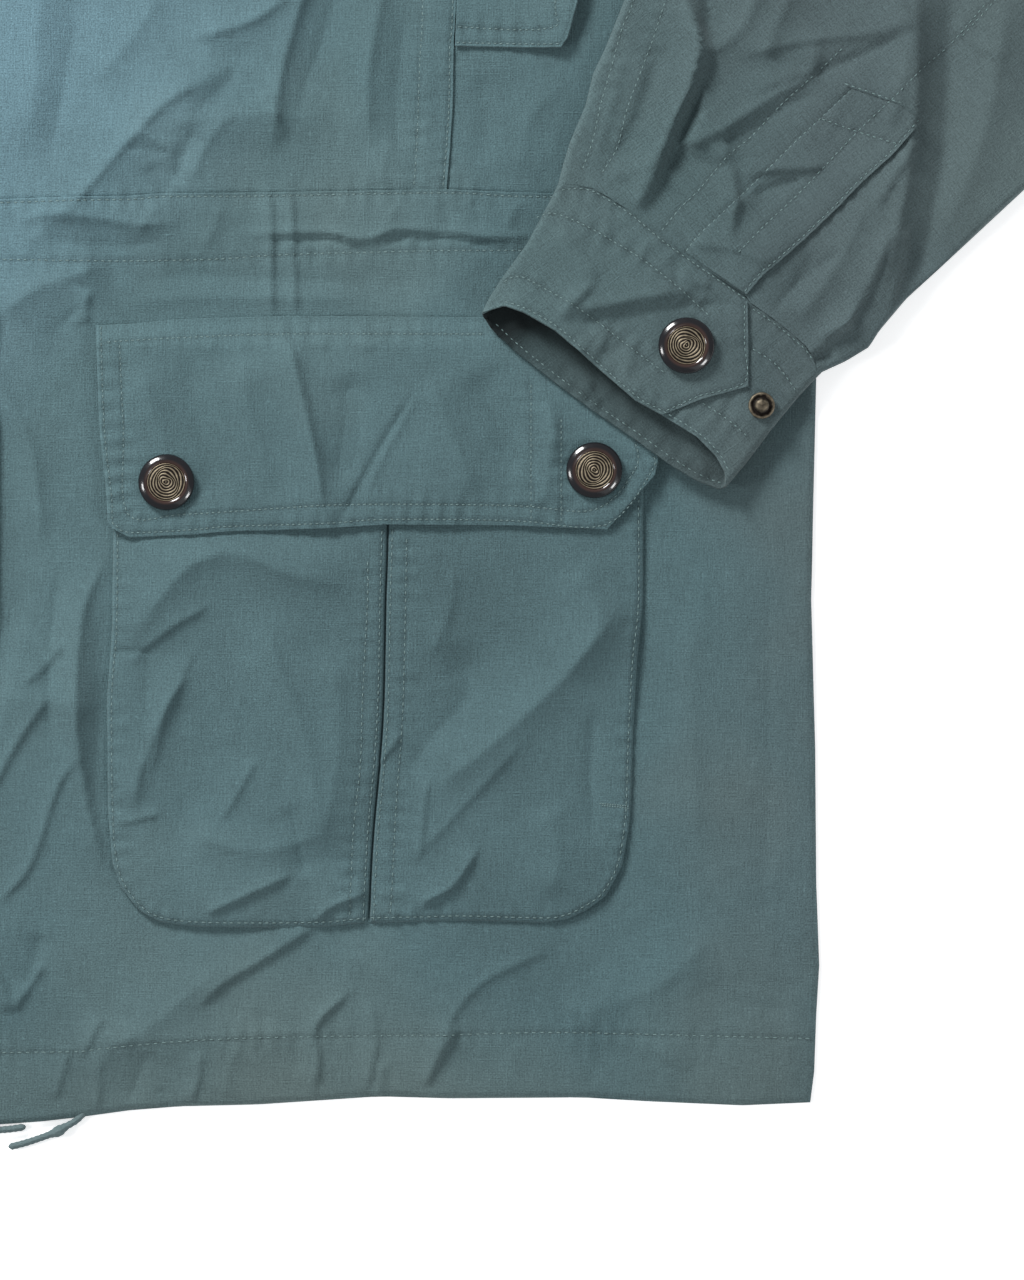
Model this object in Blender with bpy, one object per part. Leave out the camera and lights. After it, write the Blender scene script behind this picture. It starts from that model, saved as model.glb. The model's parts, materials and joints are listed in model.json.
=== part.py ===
"""Utility jacket laid flat on a surface, front up, with both sleeves bent over the body.

X runs to the wearer's left, Y towards the collar and Z up from the surface. The jacket lies on
Z = 0 with its middle at the origin. The tables below are in millimetres, measured in that frame
on the wearer's left half, and the right half mirrors it. Left and right are the wearer's.
"""

import math
from collections import namedtuple

import bmesh
import bpy
from mathutils import Vector

MM = 0.001
SAME_PLACE = 1e-6

# The rows of the tables: a flattened section of a sleeve or cuff, one of the collar, and one fold
Section = namedtuple("Section", "inner_x inner_y outer_x outer_y upper_bow lower_bow", defaults=(0.0, 0.0))
CollarSection = namedtuple("CollarSection", "share inner_x inner_y outer_x outer_y under")
Fold = namedtuple("Fold", "from_x from_y to_x to_y height width")

# Cloth and how closely it lies
WALL = 1.5
THIN_WALL = 1.2
SEAM_GAP = 0.3
LAYER_GAP = 0.3
CURVED_LAYER_GAP = 0.6

# The stack of layers
BACK_TOP = WALL
FRONT_UNDER = BACK_TOP + LAYER_GAP
FRONT_TOP = FRONT_UNDER + WALL
POCKET_UNDER = FRONT_TOP + LAYER_GAP
POCKET_DEPTH = 2.4
POCKET_TOP = POCKET_UNDER + POCKET_DEPTH + THIN_WALL
FLAP_UNDER = POCKET_TOP + LAYER_GAP
FLAP_TOP = FLAP_UNDER + THIN_WALL
SLEEVE_HEIGHT = 5.6
FOLD_INSET = 1.4
CHEST_FLAP_LIFT = 3.0

# A sleeve or cuff keeps its height this far past the edge of what it lies on, then comes down softly
FALL_START = 12.0
BODY_FALL_END = 90.0
FLAP_FALL_END = 110.0

# Main lengths of the body
HALF_LENGTH = 440.0
CENTRE_NECK = 300.0
BACK_NECK = 364.0
NECK_POINT = (88.0, 376.0)
SHOULDER_SEAM_MIDDLE = (180.0, 344.3)
SHOULDER_TIP = (262.0, 316.0)
UNDERARM = (346.0, 34.0)
WAIST_AT_CENTRE = (0.0, -70.6)
WAIST_AT_PRINCESS = (198.8, -66.4)
WAIST_AT_SIDE = (346.4, -68.4)
CASING_DROP_AT_CENTRE = 24.0
CASING_DROP_AT_SIDE = 24.6

SIDE_SEAM = [(344.0, -431.2), (345.6, -418.8), (347.6, -376.4), (346.4, -343.2), (346.0, -290.0),
             (344.4, -230.4), (345.2, -193.2), (346.4, -142.4), (346.4, -93.0)]
HEM = [(0.0, -440.0), (20.0, -440.0), (37.2, -438.8), (54.4, -436.8), (71.6, -434.4), (91.6, -432.8),
       (124.0, -432.0), (171.6, -428.8), (200.0, -429.6), (252.8, -429.2), (279.6, -430.8),
       (316.8, -432.4), (344.0, -431.2)]
PRINCESS_SEAM = [WAIST_AT_PRINCESS, (200.0, -51.6), (201.6, -8.8), (202.8, 9.6), (205.0, 120.0),
                 (196.0, 240.0), SHOULDER_SEAM_MIDDLE]
ARMHOLE = [UNDERARM, (320.0, 62.0), (304.0, 110.0), (299.0, 170.0), (286.0, 230.0), (270.0, 285.0),
           SHOULDER_TIP]
FRONT_NECKLINE = [(0.0, CENTRE_NECK), (25.0, 303.0), (58.0, 318.0), (80.0, 345.0), NECK_POINT]
BACK_NECKLINE = [(0.0, BACK_NECK), (40.0, 366.0), (70.0, 370.0), NECK_POINT]

# The bellows pocket, its pleat and its flap
POCKET_LEFT = [(76.0, -354.4), (68.8, -345.2), (65.2, -334.8), (63.6, -315.2), (63.2, -269.6),
               (65.2, -241.2), (65.6, -204.4), (66.4, -131.0)]
POCKET_BOTTOM = [(76.0, -354.4), (84.0, -358.8), (98.4, -360.8), (128.4, -361.2), (167.6, -359.2),
                 (206.4, -358.4), (237.2, -359.2), (246.4, -358.0), (254.4, -354.4)]
POCKET_RIGHT = [(254.4, -354.4), (262.4, -348.4), (268.8, -336.4), (271.6, -320.4), (273.2, -283.6),
                (274.8, -254.4), (277.2, -230.4), (277.2, -188.4), (276.8, -131.0)]
POCKET_TOP_EDGE = [(66.4, -131.0), (276.8, -131.0)]
POCKET_EDGE_WIDTH = 0.038
PLEAT_PLACE = 0.51
PLEAT_HALF_WIDTH = 0.025
PLEAT_DEPTH = 2.0

FLAP_LEFT = [(65.6, -202.0), (63.4, -198.0), (62.8, -186.0), (60.4, -162.8), (58.8, -120.8)]
FLAP_BOTTOM = [(65.6, -202.0), (72.4, -205.2), (98.4, -204.4), (150.8, -202.0), (174.0, -200.4),
               (224.8, -200.8), (262.8, -202.4)]
FLAP_RIGHT = [(262.8, -202.4), (282.4, -180.4), (283.8, -150.0), (283.2, -119.2)]
FLAP_TOP_EDGE = [(58.8, -120.8), (77.6, -119.6), (90.4, -118.0), (137.6, -116.4), (210.8, -116.4),
                 (283.2, -119.2)]
FLAP_SLOPE_START = -117.5
FLAP_SLOPE_END = -130.0

# The vertical flap on the chest
CHEST_FLAP_LEFT = [(202.2, -9.2), (203.4, 9.6), (205.4, 120.0), (204.4, 150.0)]
CHEST_FLAP_BOTTOM = [(202.2, -9.2), (216.8, -9.6), (232.0, -10.0), (244.4, -10.0)]
CHEST_FLAP_RIGHT = [(244.4, -10.0), (246.6, -7.0), (251.2, 9.6), (256.0, 60.0), (258.0, 150.0)]
CHEST_FLAP_TOP = [(204.4, 150.0), (258.0, 150.0)]

# The sleeve, one row for each section from the armhole to the cuff seam
SLEEVE = [
    Section(300.0, 169.6, 262.0, 316.0),
    Section(304.0, 129.6, 328.0, 289.6),
    Section(303.2, 95.6, 398.0, 233.6),
    Section(298.0, 69.6, 454.0, 161.6),
    Section(291.2, 51.6, 480.0, 85.6),
    Section(284.0, 37.6, 484.0, 17.6),
    Section(278.0, 24.8, 464.0, -30.4),
    Section(270.0, 9.6, 429.6, -66.4),
    Section(262.0, -10.4, 396.0, -97.6, 1.0),
    Section(252.8, -36.4, 368.8, -126.4, 3.0),
    Section(244.0, -62.4, 347.2, -141.2, 6.4),
]

# The cuff, one row for each section from its seam to its mouth
CUFF = [
    Section(243.7, -62.9, 346.9, -141.7, 6.4),
    Section(240.0, -71.6, 339.2, -149.2, 6.8, -0.6),
    Section(230.8, -88.8, 328.0, -162.8, 7.6, -2.0),
    Section(220.4, -103.2, 318.4, -175.6, 8.8, -4.0),
    Section(212.8, -116.4, 309.6, -185.2, 10.0, -5.8),
]
CUFF_TAB_LEFT = [(260.6, -136.0), (266.0, -110.0), (277.4, -83.0)]
CUFF_TAB_BOTTOM = [(260.6, -136.0), (284.8, -153.4), (304.0, -149.2), (318.8, -145.2)]
CUFF_TAB_RIGHT = [(318.8, -145.2), (318.4, -114.4)]
CUFF_TAB_TOP = [(277.4, -83.0), (318.4, -114.4)]

SLEEVE_PLACKET_LEFT = [(295.2, -90.4), (310.4, -74.8), (336.8, -48.8), (356.8, -24.8)]
SLEEVE_PLACKET_RIGHT = [(319.4, -106.8), (330.8, -96.4), (354.8, -74.0), (376.4, -53.2), (388.0, -40.0)]

# The collar, one row for each section from the centre back to the point of its leaf
COLLAR = [
    CollarSection(0.00, 0.0, 364.4, 0.0, 440.0, 0.0),
    CollarSection(0.30, 40.0, 366.6, 52.0, 437.0, 0.0),
    CollarSection(0.55, 78.0, 376.0, 106.0, 420.0, 3.8),
    CollarSection(0.70, 84.0, 358.0, 128.0, 382.0, 3.8),
    CollarSection(0.85, 54.0, 322.0, 116.0, 322.0, 3.8),
    CollarSection(1.00, 20.0, 303.0, 74.0, 256.0, 3.8),
]

FRONT_PLACKET_HALF_WIDTH = 18.5
FRONT_PLACKET_TOP = 298.0
FRONT_PLACKET_END_GAP = 1.0
PLACKET_CAP_HEIGHTS = (-345.0, -205.0, -50.0, 90.0, 230.0)

# Snap caps and the cuff stud
CAP_RADIUS = 11.2
CAP_HEIGHT = 4.2
POCKET_CAPS = ((87.2, -183.6), (257.6, -178.8))
CUFF_CAP = (294.0, -129.6)
STUD_PLACE = (324.0, -153.2)
STUD_RADIUS = 5.2
STUD_HEIGHT = 4.4
ROUND_STEPS = 16

# The two free ends of the hem drawstring: X, Y and Z of the points each passes through
DRAWSTRING_RADIUS = 1.5
DRAWSTRING_STEP = 3.0
LEFT_DRAWSTRING = [
    (51.4, -438.9, 1.9), (49.8, -439.1, 1.8), (48.2, -439.7, 1.7), (46.6, -440.6, 1.6), (45.2, -441.7, 1.6),
    (43.8, -442.7, 1.6), (42.2, -443.4, 1.6), (40.2, -444.0, 1.6), (37.8, -444.9, 1.6), (35.2, -445.8, 1.6),
    (32.6, -446.7, 1.6), (30.0, -447.5, 1.6), (27.4, -448.2, 1.6), (25.2, -448.7, 1.6), (23.4, -449.0, 1.6),
]
RIGHT_DRAWSTRING = [
    (-51.0, -439.6, 1.8), (-47.0, -440.7, 1.6), (-42.0, -441.8, 1.6), (-36.0, -442.7, 1.6),
    (-30.0, -443.2, 1.6), (-24.0, -443.4, 1.6), (-18.0, -443.3, 1.6), (-12.0, -443.0, 1.6),
    (-6.0, -442.7, 1.6), (0.0, -442.5, 1.6), (6.0, -442.4, 1.6), (12.0, -442.4, 1.6), (18.0, -442.3, 1.6),
    (23.0, -442.0, 1.6), (27.0, -441.5, 1.6), (30.6, -440.9, 1.6),
]

# The largest folds: where each starts and ends, how high it stands and how wide it is
BODY_FOLDS = [
    Fold(38.0, -50.0, 92.0, -18.0, 1.8, 20.0),
    Fold(98.0, 10.0, 132.0, 24.0, 1.4, 20.0),
    Fold(150.0, 90.0, 120.0, 210.0, 1.8, 24.0),
    Fold(60.0, 120.0, 90.0, 250.0, 1.5, 24.0),
    Fold(236.0, 150.0, 226.0, 260.0, 1.4, 20.0),
    Fold(128.0, -62.0, 134.0, 8.0, 1.0, 18.0),
    Fold(44.0, -150.0, 40.0, -262.0, 1.3, 15.0),
    Fold(46.0, -286.0, 34.0, -352.0, 1.4, 16.0),
    Fold(140.0, -374.0, 92.0, -404.0, 1.6, 16.0),
    Fold(230.0, -378.0, 196.0, -414.0, 1.3, 16.0),
    Fold(312.0, -240.0, 308.0, -350.0, 1.4, 22.0),
    Fold(292.0, -380.0, 322.0, -412.0, 1.0, 18.0),
]
SLEEVE_FOLDS = [
    Fold(290.0, 0.0, 276.0, -60.0, -1.3, 17.0),
    Fold(396.0, 20.0, 392.0, -90.0, -1.3, 22.0),
    Fold(330.0, 60.0, 420.0, 120.0, -1.5, 24.0),
    Fold(320.0, 30.0, 430.0, 40.0, -1.5, 24.0),
    Fold(312.0, 150.0, 360.0, 200.0, -1.3, 22.0),
]
FOLD_END_SHARE = 0.4
FLAT_NEAR_CENTRE = 24.0
FULL_FOLDS_FROM = 46.0

# Colours as they look in daylight, with roughness and metallic value
CLOTH_COLOUR = (0.108, 0.180, 0.195)
SLEEVE_COLOUR = (0.098, 0.142, 0.148)
CAP_COLOUR = (0.030, 0.018, 0.014)
BRASS_COLOUR = (0.150, 0.120, 0.060)
CORD_COLOUR = (0.090, 0.130, 0.130)
CLOTH_ROUGHNESS = 0.85
SHARP_FROM = math.radians(50.0)
CAP_ROUGHNESS = 0.25
BRASS_ROUGHNESS = 0.40


def smoothstep(low, high, value):
    share = min(1.0, max(0.0, (value - low) / (high - low)))
    return share * share * (3.0 - 2.0 * share)


def spread(count, first=0.0, last=1.0):
    """Count + 1 evenly spaced shares from first to last."""
    return [first + (last - first) * step / count for step in range(count + 1)]


def curve(points):
    """The straight runs through the points, read by the share of their length."""
    corners = [Vector(point) for point in points]
    lengths = [(after - before).length for before, after in zip(corners, corners[1:])]
    total = sum(lengths)

    def at(share):
        left = share * total
        for before, after, length in zip(corners, corners[1:], lengths):
            if left <= length:
                return before.lerp(after, left / length)
            left -= length
        return corners[-1].copy()

    return at


def smooth_route(points, pieces):
    """A smooth curve through the points (Catmull-Rom), with so many pieces between each two."""
    ends = [points[0]] + list(points) + [points[-1]]
    knots = [Vector(point) for point in ends]
    route = []
    for before, start, end, after in zip(knots, knots[1:], knots[2:], knots[3:]):
        for step in range(pieces):
            t = step / pieces
            route.append(0.5 * (2.0 * start + (end - before) * t
                                + (2.0 * before - 5.0 * start + 4.0 * end - after) * t ** 2
                                + (3.0 * start - before - 3.0 * end + after) * t ** 3))
    return route + [knots[-1]]


def patch(bottom, right, top, left):
    """A point of the panel inside four edges, each read left to right or bottom to top."""
    bottom, right, top, left = (curve(edge) for edge in (bottom, right, top, left))
    corners = bottom(0.0), bottom(1.0), top(0.0), top(1.0)

    def at(u, v):
        across = left(v) * (1.0 - u) + right(v) * u
        upward = bottom(u) * (1.0 - v) + top(u) * v
        low = corners[0] * (1.0 - u) + corners[1] * u
        high = corners[2] * (1.0 - u) + corners[3] * u
        return across + upward - low * (1.0 - v) - high * v

    return at


def moved(points, x=0.0, y=0.0):
    return [(point[0] + x, point[1] + y) for point in points]


def blended(low, high, part):
    """The row between two rows of a table."""
    return type(low)(*(a + (b - a) * part for a, b in zip(low, high)))


def table_row(table, share):
    """The row of a table at this share of its height, between its own rows."""
    place = share * (len(table) - 1)
    index = min(int(place), len(table) - 2)
    part = place - index
    return blended(table[index], table[index + 1], part)


def distance_to_run(point, start, end):
    """How far a point is from a straight run, and the share of the run nearest to it."""
    run = end - start
    share = min(1.0, max(0.0, (point - start).dot(run) / run.length_squared))
    return (point - start - run * share).length, share


def distance_outside(outline, x, y):
    """How far a place is outside a closed outline, or 0 inside it."""
    point = Vector((x, y))
    corners = [Vector(corner) for corner in outline]
    nearest = 1e9
    inside = False
    for start, end in zip(corners, corners[1:] + corners[:1]):
        nearest = min(nearest, distance_to_run(point, start, end)[0])
        if (start.y > y) != (end.y > y):
            crossing = start.x + (end.x - start.x) * (y - start.y) / (end.y - start.y)
            inside = inside != (x < crossing)
    return 0.0 if inside else nearest


def folds(table, x, y):
    """The height that the folds of a table give a place, each fading towards its two ends."""
    total = 0.0
    for fold in table:
        start = Vector((fold.from_x, fold.from_y))
        end = Vector((fold.to_x, fold.to_y))
        distance, share = distance_to_run(Vector((x, y)), start, end)
        fade = FOLD_END_SHARE + (1.0 - FOLD_END_SHARE) * math.sin(math.pi * share)
        total += fold.height * math.exp(-(distance / fold.width) ** 2) * fade
    return total


def body_relief(x, y):
    return folds(BODY_FOLDS, x, y) * smoothstep(FLAT_NEAR_CENTRE, FULL_FOLDS_FROM, x)


BODY_OUTLINE = HEM + SIDE_SEAM[1:] + ARMHOLE + [NECK_POINT, (0.0, BACK_NECK)]
FLAP_OUTLINE = FLAP_BOTTOM + FLAP_RIGHT[1:] + FLAP_TOP_EDGE[::-1][1:] + FLAP_LEFT[::-1][1:-1]


def rest_height(x, y):
    """What a sleeve or cuff lies on: the body and the pocket flap, with a soft fall past their edges."""
    past_body = distance_outside(BODY_OUTLINE, x, y)
    past_flap = distance_outside(FLAP_OUTLINE, x, y)
    body = (FRONT_TOP + CURVED_LAYER_GAP) * (1.0 - smoothstep(FALL_START, BODY_FALL_END, past_body))
    flap = (FLAP_TOP + CURVED_LAYER_GAP) * (1.0 - smoothstep(FALL_START, FLAP_FALL_END, past_flap))
    return max(body, flap)


def sleeve_top(x, y):
    return rest_height(x, y) + SLEEVE_HEIGHT + folds(SLEEVE_FOLDS, x, y)


def flap_under(y):
    """The pocket flap's underside: sewn down on the skirt along its top, then over the pocket."""
    return POCKET_UNDER + (FLAP_UNDER - POCKET_UNDER) * smoothstep(-FLAP_SLOPE_START, -FLAP_SLOPE_END, -y)


def pocket_swell(u, v):
    """How far the pocket stands off the skirt: nothing on its sewn edges, and less in the pleat."""
    edges = min(u, 1.0 - u) / POCKET_EDGE_WIDTH, v / POCKET_EDGE_WIDTH
    swell = POCKET_DEPTH * min(1.0, *edges)
    pleat = PLEAT_DEPTH * max(0.0, 1.0 - abs(u - PLEAT_PLACE) / PLEAT_HALF_WIDTH)
    return max(0.0, swell - pleat)


def principled(name, colour, roughness, metallic):
    material = bpy.data.materials.new(name)
    material.use_nodes = True
    shader = material.node_tree.nodes["Principled BSDF"]
    shader.inputs["Base Color"].default_value = (*colour, 1.0)
    shader.inputs["Roughness"].default_value = roughness
    shader.inputs["Metallic"].default_value = metallic
    return material


def add_part(name, mesh, colour, roughness=CLOTH_ROUGHNESS, metallic=0.0):
    mesh.materials.append(principled(name, colour, roughness, metallic))
    mesh.shade_smooth()
    mesh.set_sharp_from_angle(angle=SHARP_FROM)
    part = bpy.data.objects.new(name, mesh)
    bpy.context.collection.objects.link(part)
    return part


def cloth(name, columns, rows, place, colour=CLOTH_COLOUR, tube=False):
    """A wall of cloth: a grid put in place on one face, then extruded to its other face.

    place(u, v, level) gives a point in millimetres: level 0 is the under or outer face, and 1 the
    other. A tube's first and last columns are the same line.
    """
    shape = bmesh.new()
    bmesh.ops.create_grid(shape, x_segments=len(columns) - 1, y_segments=len(rows) - 1, size=0.5)
    shares = shape.verts.layers.float_vector.new("shares")
    for vert in shape.verts:
        u = columns[round((vert.co.x + 0.5) * (len(columns) - 1))]
        v = rows[round((vert.co.y + 0.5) * (len(rows) - 1))]
        vert[shares] = (u, v, 0.0)
        vert.co = Vector(place(u, v, 0)) * MM
    if tube:
        bmesh.ops.remove_doubles(shape, verts=shape.verts, dist=SAME_PLACE)
    raised = bmesh.ops.extrude_face_region(shape, geom=shape.faces[:])
    for item in raised["geom"]:
        if isinstance(item, bmesh.types.BMVert):
            item.co = Vector(place(item[shares].x, item[shares].y, 1)) * MM
    bmesh.ops.recalc_face_normals(shape, faces=shape.faces)
    mesh = bpy.data.meshes.new(name)
    shape.to_mesh(mesh)
    shape.free()
    return add_part(name, mesh, colour)


def panel(name, side, columns, rows, plan, under, wall=WALL, colour=CLOTH_COLOUR):
    """A panel that lies on what is under it: plan gives X and Y, and under gives its underside."""
    def place(u, v, level):
        spot = plan(u, v)
        return side * spot.x, spot.y, under(spot.x, spot.y, u, v) + wall * level

    return cloth(name, columns, rows, place, colour)


def front_under(x, y, u, v):
    return FRONT_UNDER + body_relief(x, y)


def front_pieces(side, prefix):
    """The four panels of one front, from the collar to the hem, a seam's gap apart."""
    half = SEAM_GAP / 2.0
    waist = [WAIST_AT_CENTRE, WAIST_AT_PRINCESS, WAIST_AT_SIDE]
    casing_edge = [(0.0, WAIST_AT_CENTRE[1] - CASING_DROP_AT_CENTRE),
                   (WAIST_AT_SIDE[0], WAIST_AT_SIDE[1] - CASING_DROP_AT_SIDE)]
    from_centre = half / WAIST_AT_SIDE[0]

    front_seam = moved(PRINCESS_SEAM, x=-half)
    centre_waist = (half, WAIST_AT_CENTRE[1])
    centre_neck = (half, CENTRE_NECK)
    plan = patch([centre_waist, front_seam[0]], front_seam,
                 [centre_neck] + FRONT_NECKLINE[1:] + [front_seam[-1]], [centre_waist, centre_neck])
    panel(prefix + "_front_upper", side, spread(9), spread(18), plan, front_under)

    side_seam = moved(PRINCESS_SEAM, x=half)
    plan = patch([side_seam[0], WAIST_AT_SIDE], [WAIST_AT_SIDE] + ARMHOLE,
                 [side_seam[-1], SHOULDER_TIP], side_seam)
    panel(prefix + "_side_upper", side, spread(7), spread(18), plan, front_under)

    casing_top = moved(waist, y=-SEAM_GAP)
    plan = patch(casing_edge, [casing_edge[1], casing_top[-1]], casing_top, [casing_edge[0], casing_top[0]])
    panel(prefix + "_waist_casing", side, spread(18, from_centre), spread(2), plan, front_under)

    skirt_top = moved(casing_edge, y=-SEAM_GAP)
    plan = patch(HEM, SIDE_SEAM[:-1] + [skirt_top[1]], skirt_top, [HEM[0], skirt_top[0]])
    panel(prefix + "_skirt", side, spread(18, from_centre), spread(18), plan, front_under)


def chest_flap(side, prefix):
    """The flap that hinges on the princess seam and stands off the chest along its free edge."""
    plan = patch(CHEST_FLAP_BOTTOM, CHEST_FLAP_RIGHT, CHEST_FLAP_TOP, CHEST_FLAP_LEFT)

    def under(x, y, u, v):
        return FRONT_TOP + CURVED_LAYER_GAP + body_relief(x, y) + CHEST_FLAP_LIFT * u * u

    panel(prefix + "_chest_flap", side, spread(4), spread(8), plan, under, THIN_WALL)


def pocket(side, prefix):
    """The bellows pocket: a face that turns down to the skirt at its edges, with its centre pleat."""
    plan = patch(POCKET_BOTTOM, POCKET_RIGHT, POCKET_TOP_EDGE, POCKET_LEFT)
    left_half = spread(4, POCKET_EDGE_WIDTH, PLEAT_PLACE - PLEAT_HALF_WIDTH)
    right_half = spread(4, PLEAT_PLACE + PLEAT_HALF_WIDTH, 1.0 - POCKET_EDGE_WIDTH)

    def under(x, y, u, v):
        return POCKET_UNDER + body_relief(x, y) + pocket_swell(u, v)

    panel(prefix + "_pocket", side, [0.0] + left_half + [PLEAT_PLACE] + right_half + [1.0],
          [0.0] + spread(11, POCKET_EDGE_WIDTH), plan, under, THIN_WALL)


def pocket_flap(side, prefix):
    """The pocket's flap, with one corner rounded and the other clipped."""
    plan = patch(FLAP_BOTTOM, FLAP_RIGHT, FLAP_TOP_EDGE, FLAP_LEFT)

    def under(x, y, u, v):
        return flap_under(y)

    panel(prefix + "_pocket_flap", side, spread(14), spread(8), plan, under, THIN_WALL)


def flattened_ring(section, across, upper, level):
    """X and Y of a point of a flattened section: across runs from 0 at its inner fold to 1 at its outer."""
    inner = Vector((section.inner_x, section.inner_y))
    outer = Vector((section.outer_x, section.outer_y))
    width = (outer - inner).length
    direction = (outer - inner) / width
    towards_sleeve = Vector((-direction.y, direction.x))
    inset = FOLD_INSET * WALL / width * level
    bow = section.upper_bow if upper else section.lower_bow
    round_share = math.sqrt(max(0.0, 1.0 - (2.0 * across - 1.0) ** 2))
    return inner.lerp(outer, inset + across * (1.0 - 2.0 * inset)) + towards_sleeve * bow * round_share


def flattened_tube(name, side, table, rows, colour, relief):
    """A sleeve or cuff: flattened rings over whatever it lies on, open at both ends."""
    run = [0.0, 0.03] + spread(8, 0.1, 0.9) + [0.97, 1.0]
    columns = [share / 2.0 for share in run] + [0.5 + share / 2.0 for share in run[1:]]

    def place(u, v, level):
        upper = u > 0.5
        across = 2.0 - 2.0 * u if upper else 2.0 * u
        spot = flattened_ring(table_row(table, v), across, upper, level)
        low = rest_height(spot.x, spot.y)
        high = low + SLEEVE_HEIGHT + relief(spot.x, spot.y)
        if min(across, 1.0 - across) < SAME_PLACE:
            height = (low + high) / 2.0
        elif upper:
            height = high - THIN_WALL * level
        else:
            height = low + THIN_WALL * level
        return side * spot.x, spot.y, height

    return cloth(name, columns, rows, place, colour, tube=True)


def sleeve(side, prefix):
    flattened_tube(prefix + "_sleeve", side, SLEEVE, spread(16), SLEEVE_COLOUR,
                   lambda x, y: folds(SLEEVE_FOLDS, x, y))
    flattened_tube(prefix + "_cuff", side, CUFF, spread(4), SLEEVE_COLOUR, lambda x, y: 0.0)


def sleeve_trim(side, prefix):
    """The sleeve's placket strip and the pointed end of the cuff, each on the wall under it."""
    placket = patch([SLEEVE_PLACKET_LEFT[0], SLEEVE_PLACKET_RIGHT[0]], SLEEVE_PLACKET_RIGHT,
                    [SLEEVE_PLACKET_LEFT[-1], SLEEVE_PLACKET_RIGHT[-1]], SLEEVE_PLACKET_LEFT)

    def on_sleeve(x, y, u, v):
        return sleeve_top(x, y) + CURVED_LAYER_GAP

    panel(prefix + "_sleeve_placket", side, spread(3), spread(7), placket, on_sleeve, THIN_WALL,
          SLEEVE_COLOUR)

    tab = patch(CUFF_TAB_BOTTOM, CUFF_TAB_RIGHT, CUFF_TAB_TOP, CUFF_TAB_LEFT)

    def on_cuff(x, y, u, v):
        return rest_height(x, y) + SLEEVE_HEIGHT + CURVED_LAYER_GAP

    panel(prefix + "_cuff_tab", side, spread(5), spread(4), tab, on_cuff, THIN_WALL, SLEEVE_COLOUR)


def turned(name, profile, place, colour, roughness, metallic):
    """A round piece: its profile, from the axis below to the axis above, spun about Z."""
    shape = bmesh.new()
    verts = [shape.verts.new((radius * MM, 0.0, height * MM)) for radius, height in profile]
    edges = [shape.edges.new(pair) for pair in zip(verts, verts[1:])]
    bmesh.ops.spin(shape, geom=verts + edges, axis=(0.0, 0.0, 1.0), cent=(0.0, 0.0, 0.0),
                   angle=2.0 * math.pi, steps=ROUND_STEPS, use_merge=True)
    bmesh.ops.remove_doubles(shape, verts=shape.verts, dist=SAME_PLACE)
    bmesh.ops.recalc_face_normals(shape, faces=shape.faces)
    mesh = bpy.data.meshes.new(name)
    shape.to_mesh(mesh)
    shape.free()
    part = add_part(name, mesh, colour, roughness, metallic)
    part.location = Vector(place) * MM
    return part


def snap_cap(name, x, y, base):
    """A snap's cap: a glossy rim, a sunk ring and a low round disc in its middle."""
    rim, groove, disc = 0.86 * CAP_RADIUS, 0.76 * CAP_RADIUS, 0.66 * CAP_RADIUS
    profile = [(0.0, 0.0), (0.9 * CAP_RADIUS, 0.0), (CAP_RADIUS, 0.3 * CAP_HEIGHT),
               (rim, 0.8 * CAP_HEIGHT), (groove, 0.7 * CAP_HEIGHT), (disc, 0.85 * CAP_HEIGHT),
               (0.0, CAP_HEIGHT)]
    turned(name, profile, (x, y, base), CAP_COLOUR, CAP_ROUGHNESS, 0.0)


def cuff_stud(name, x, y, base):
    """The snap's other half: a round foot and the ball that the cap closes on."""
    profile = [(0.0, 0.0), (STUD_RADIUS, 0.0), (STUD_RADIUS, 0.25 * STUD_HEIGHT),
               (0.45 * STUD_RADIUS, 0.35 * STUD_HEIGHT), (0.62 * STUD_RADIUS, 0.7 * STUD_HEIGHT),
               (0.35 * STUD_RADIUS, 0.97 * STUD_HEIGHT), (0.0, STUD_HEIGHT)]
    turned(name, profile, (x, y, base), BRASS_COLOUR, BRASS_ROUGHNESS, 0.9)


def seat(top, x, y, radius):
    """The height that a flat round foot needs to clear what is under it."""
    heights = [top(x, y)]
    for step in range(8):
        angle = step * math.pi / 4.0
        heights.append(top(x + radius * math.cos(angle), y + radius * math.sin(angle)))
    return max(heights) + LAYER_GAP


def fasteners(side, prefix):
    for number, (x, y) in enumerate(POCKET_CAPS, start=1):
        snap_cap(f"{prefix}_pocket_cap_{number}", side * x, y, FLAP_TOP + LAYER_GAP)

    def tab_top(x, y):
        return rest_height(x, y) + SLEEVE_HEIGHT + CURVED_LAYER_GAP + THIN_WALL

    def cuff_top(x, y):
        return rest_height(x, y) + SLEEVE_HEIGHT

    x, y = CUFF_CAP
    snap_cap(prefix + "_cuff_cap", side * x, y, seat(tab_top, x, y, CAP_RADIUS))
    x, y = STUD_PLACE
    cuff_stud(prefix + "_cuff_stud", side * x, y, seat(cuff_top, x, y, STUD_RADIUS))


def back():
    """The back, flat on the surface, with the outline of the two fronts."""
    def whole(points):
        return [(-x, y) for x, y in points[::-1]] + points[1:]

    side_edge = SIDE_SEAM + ARMHOLE
    top_edge = whole(BACK_NECKLINE + [SHOULDER_TIP])
    plan = patch(whole(HEM), side_edge, top_edge, [(-x, y) for x, y in side_edge])
    panel("back", 1.0, spread(16), spread(20), plan, lambda x, y, u, v: 0.0)


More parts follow.
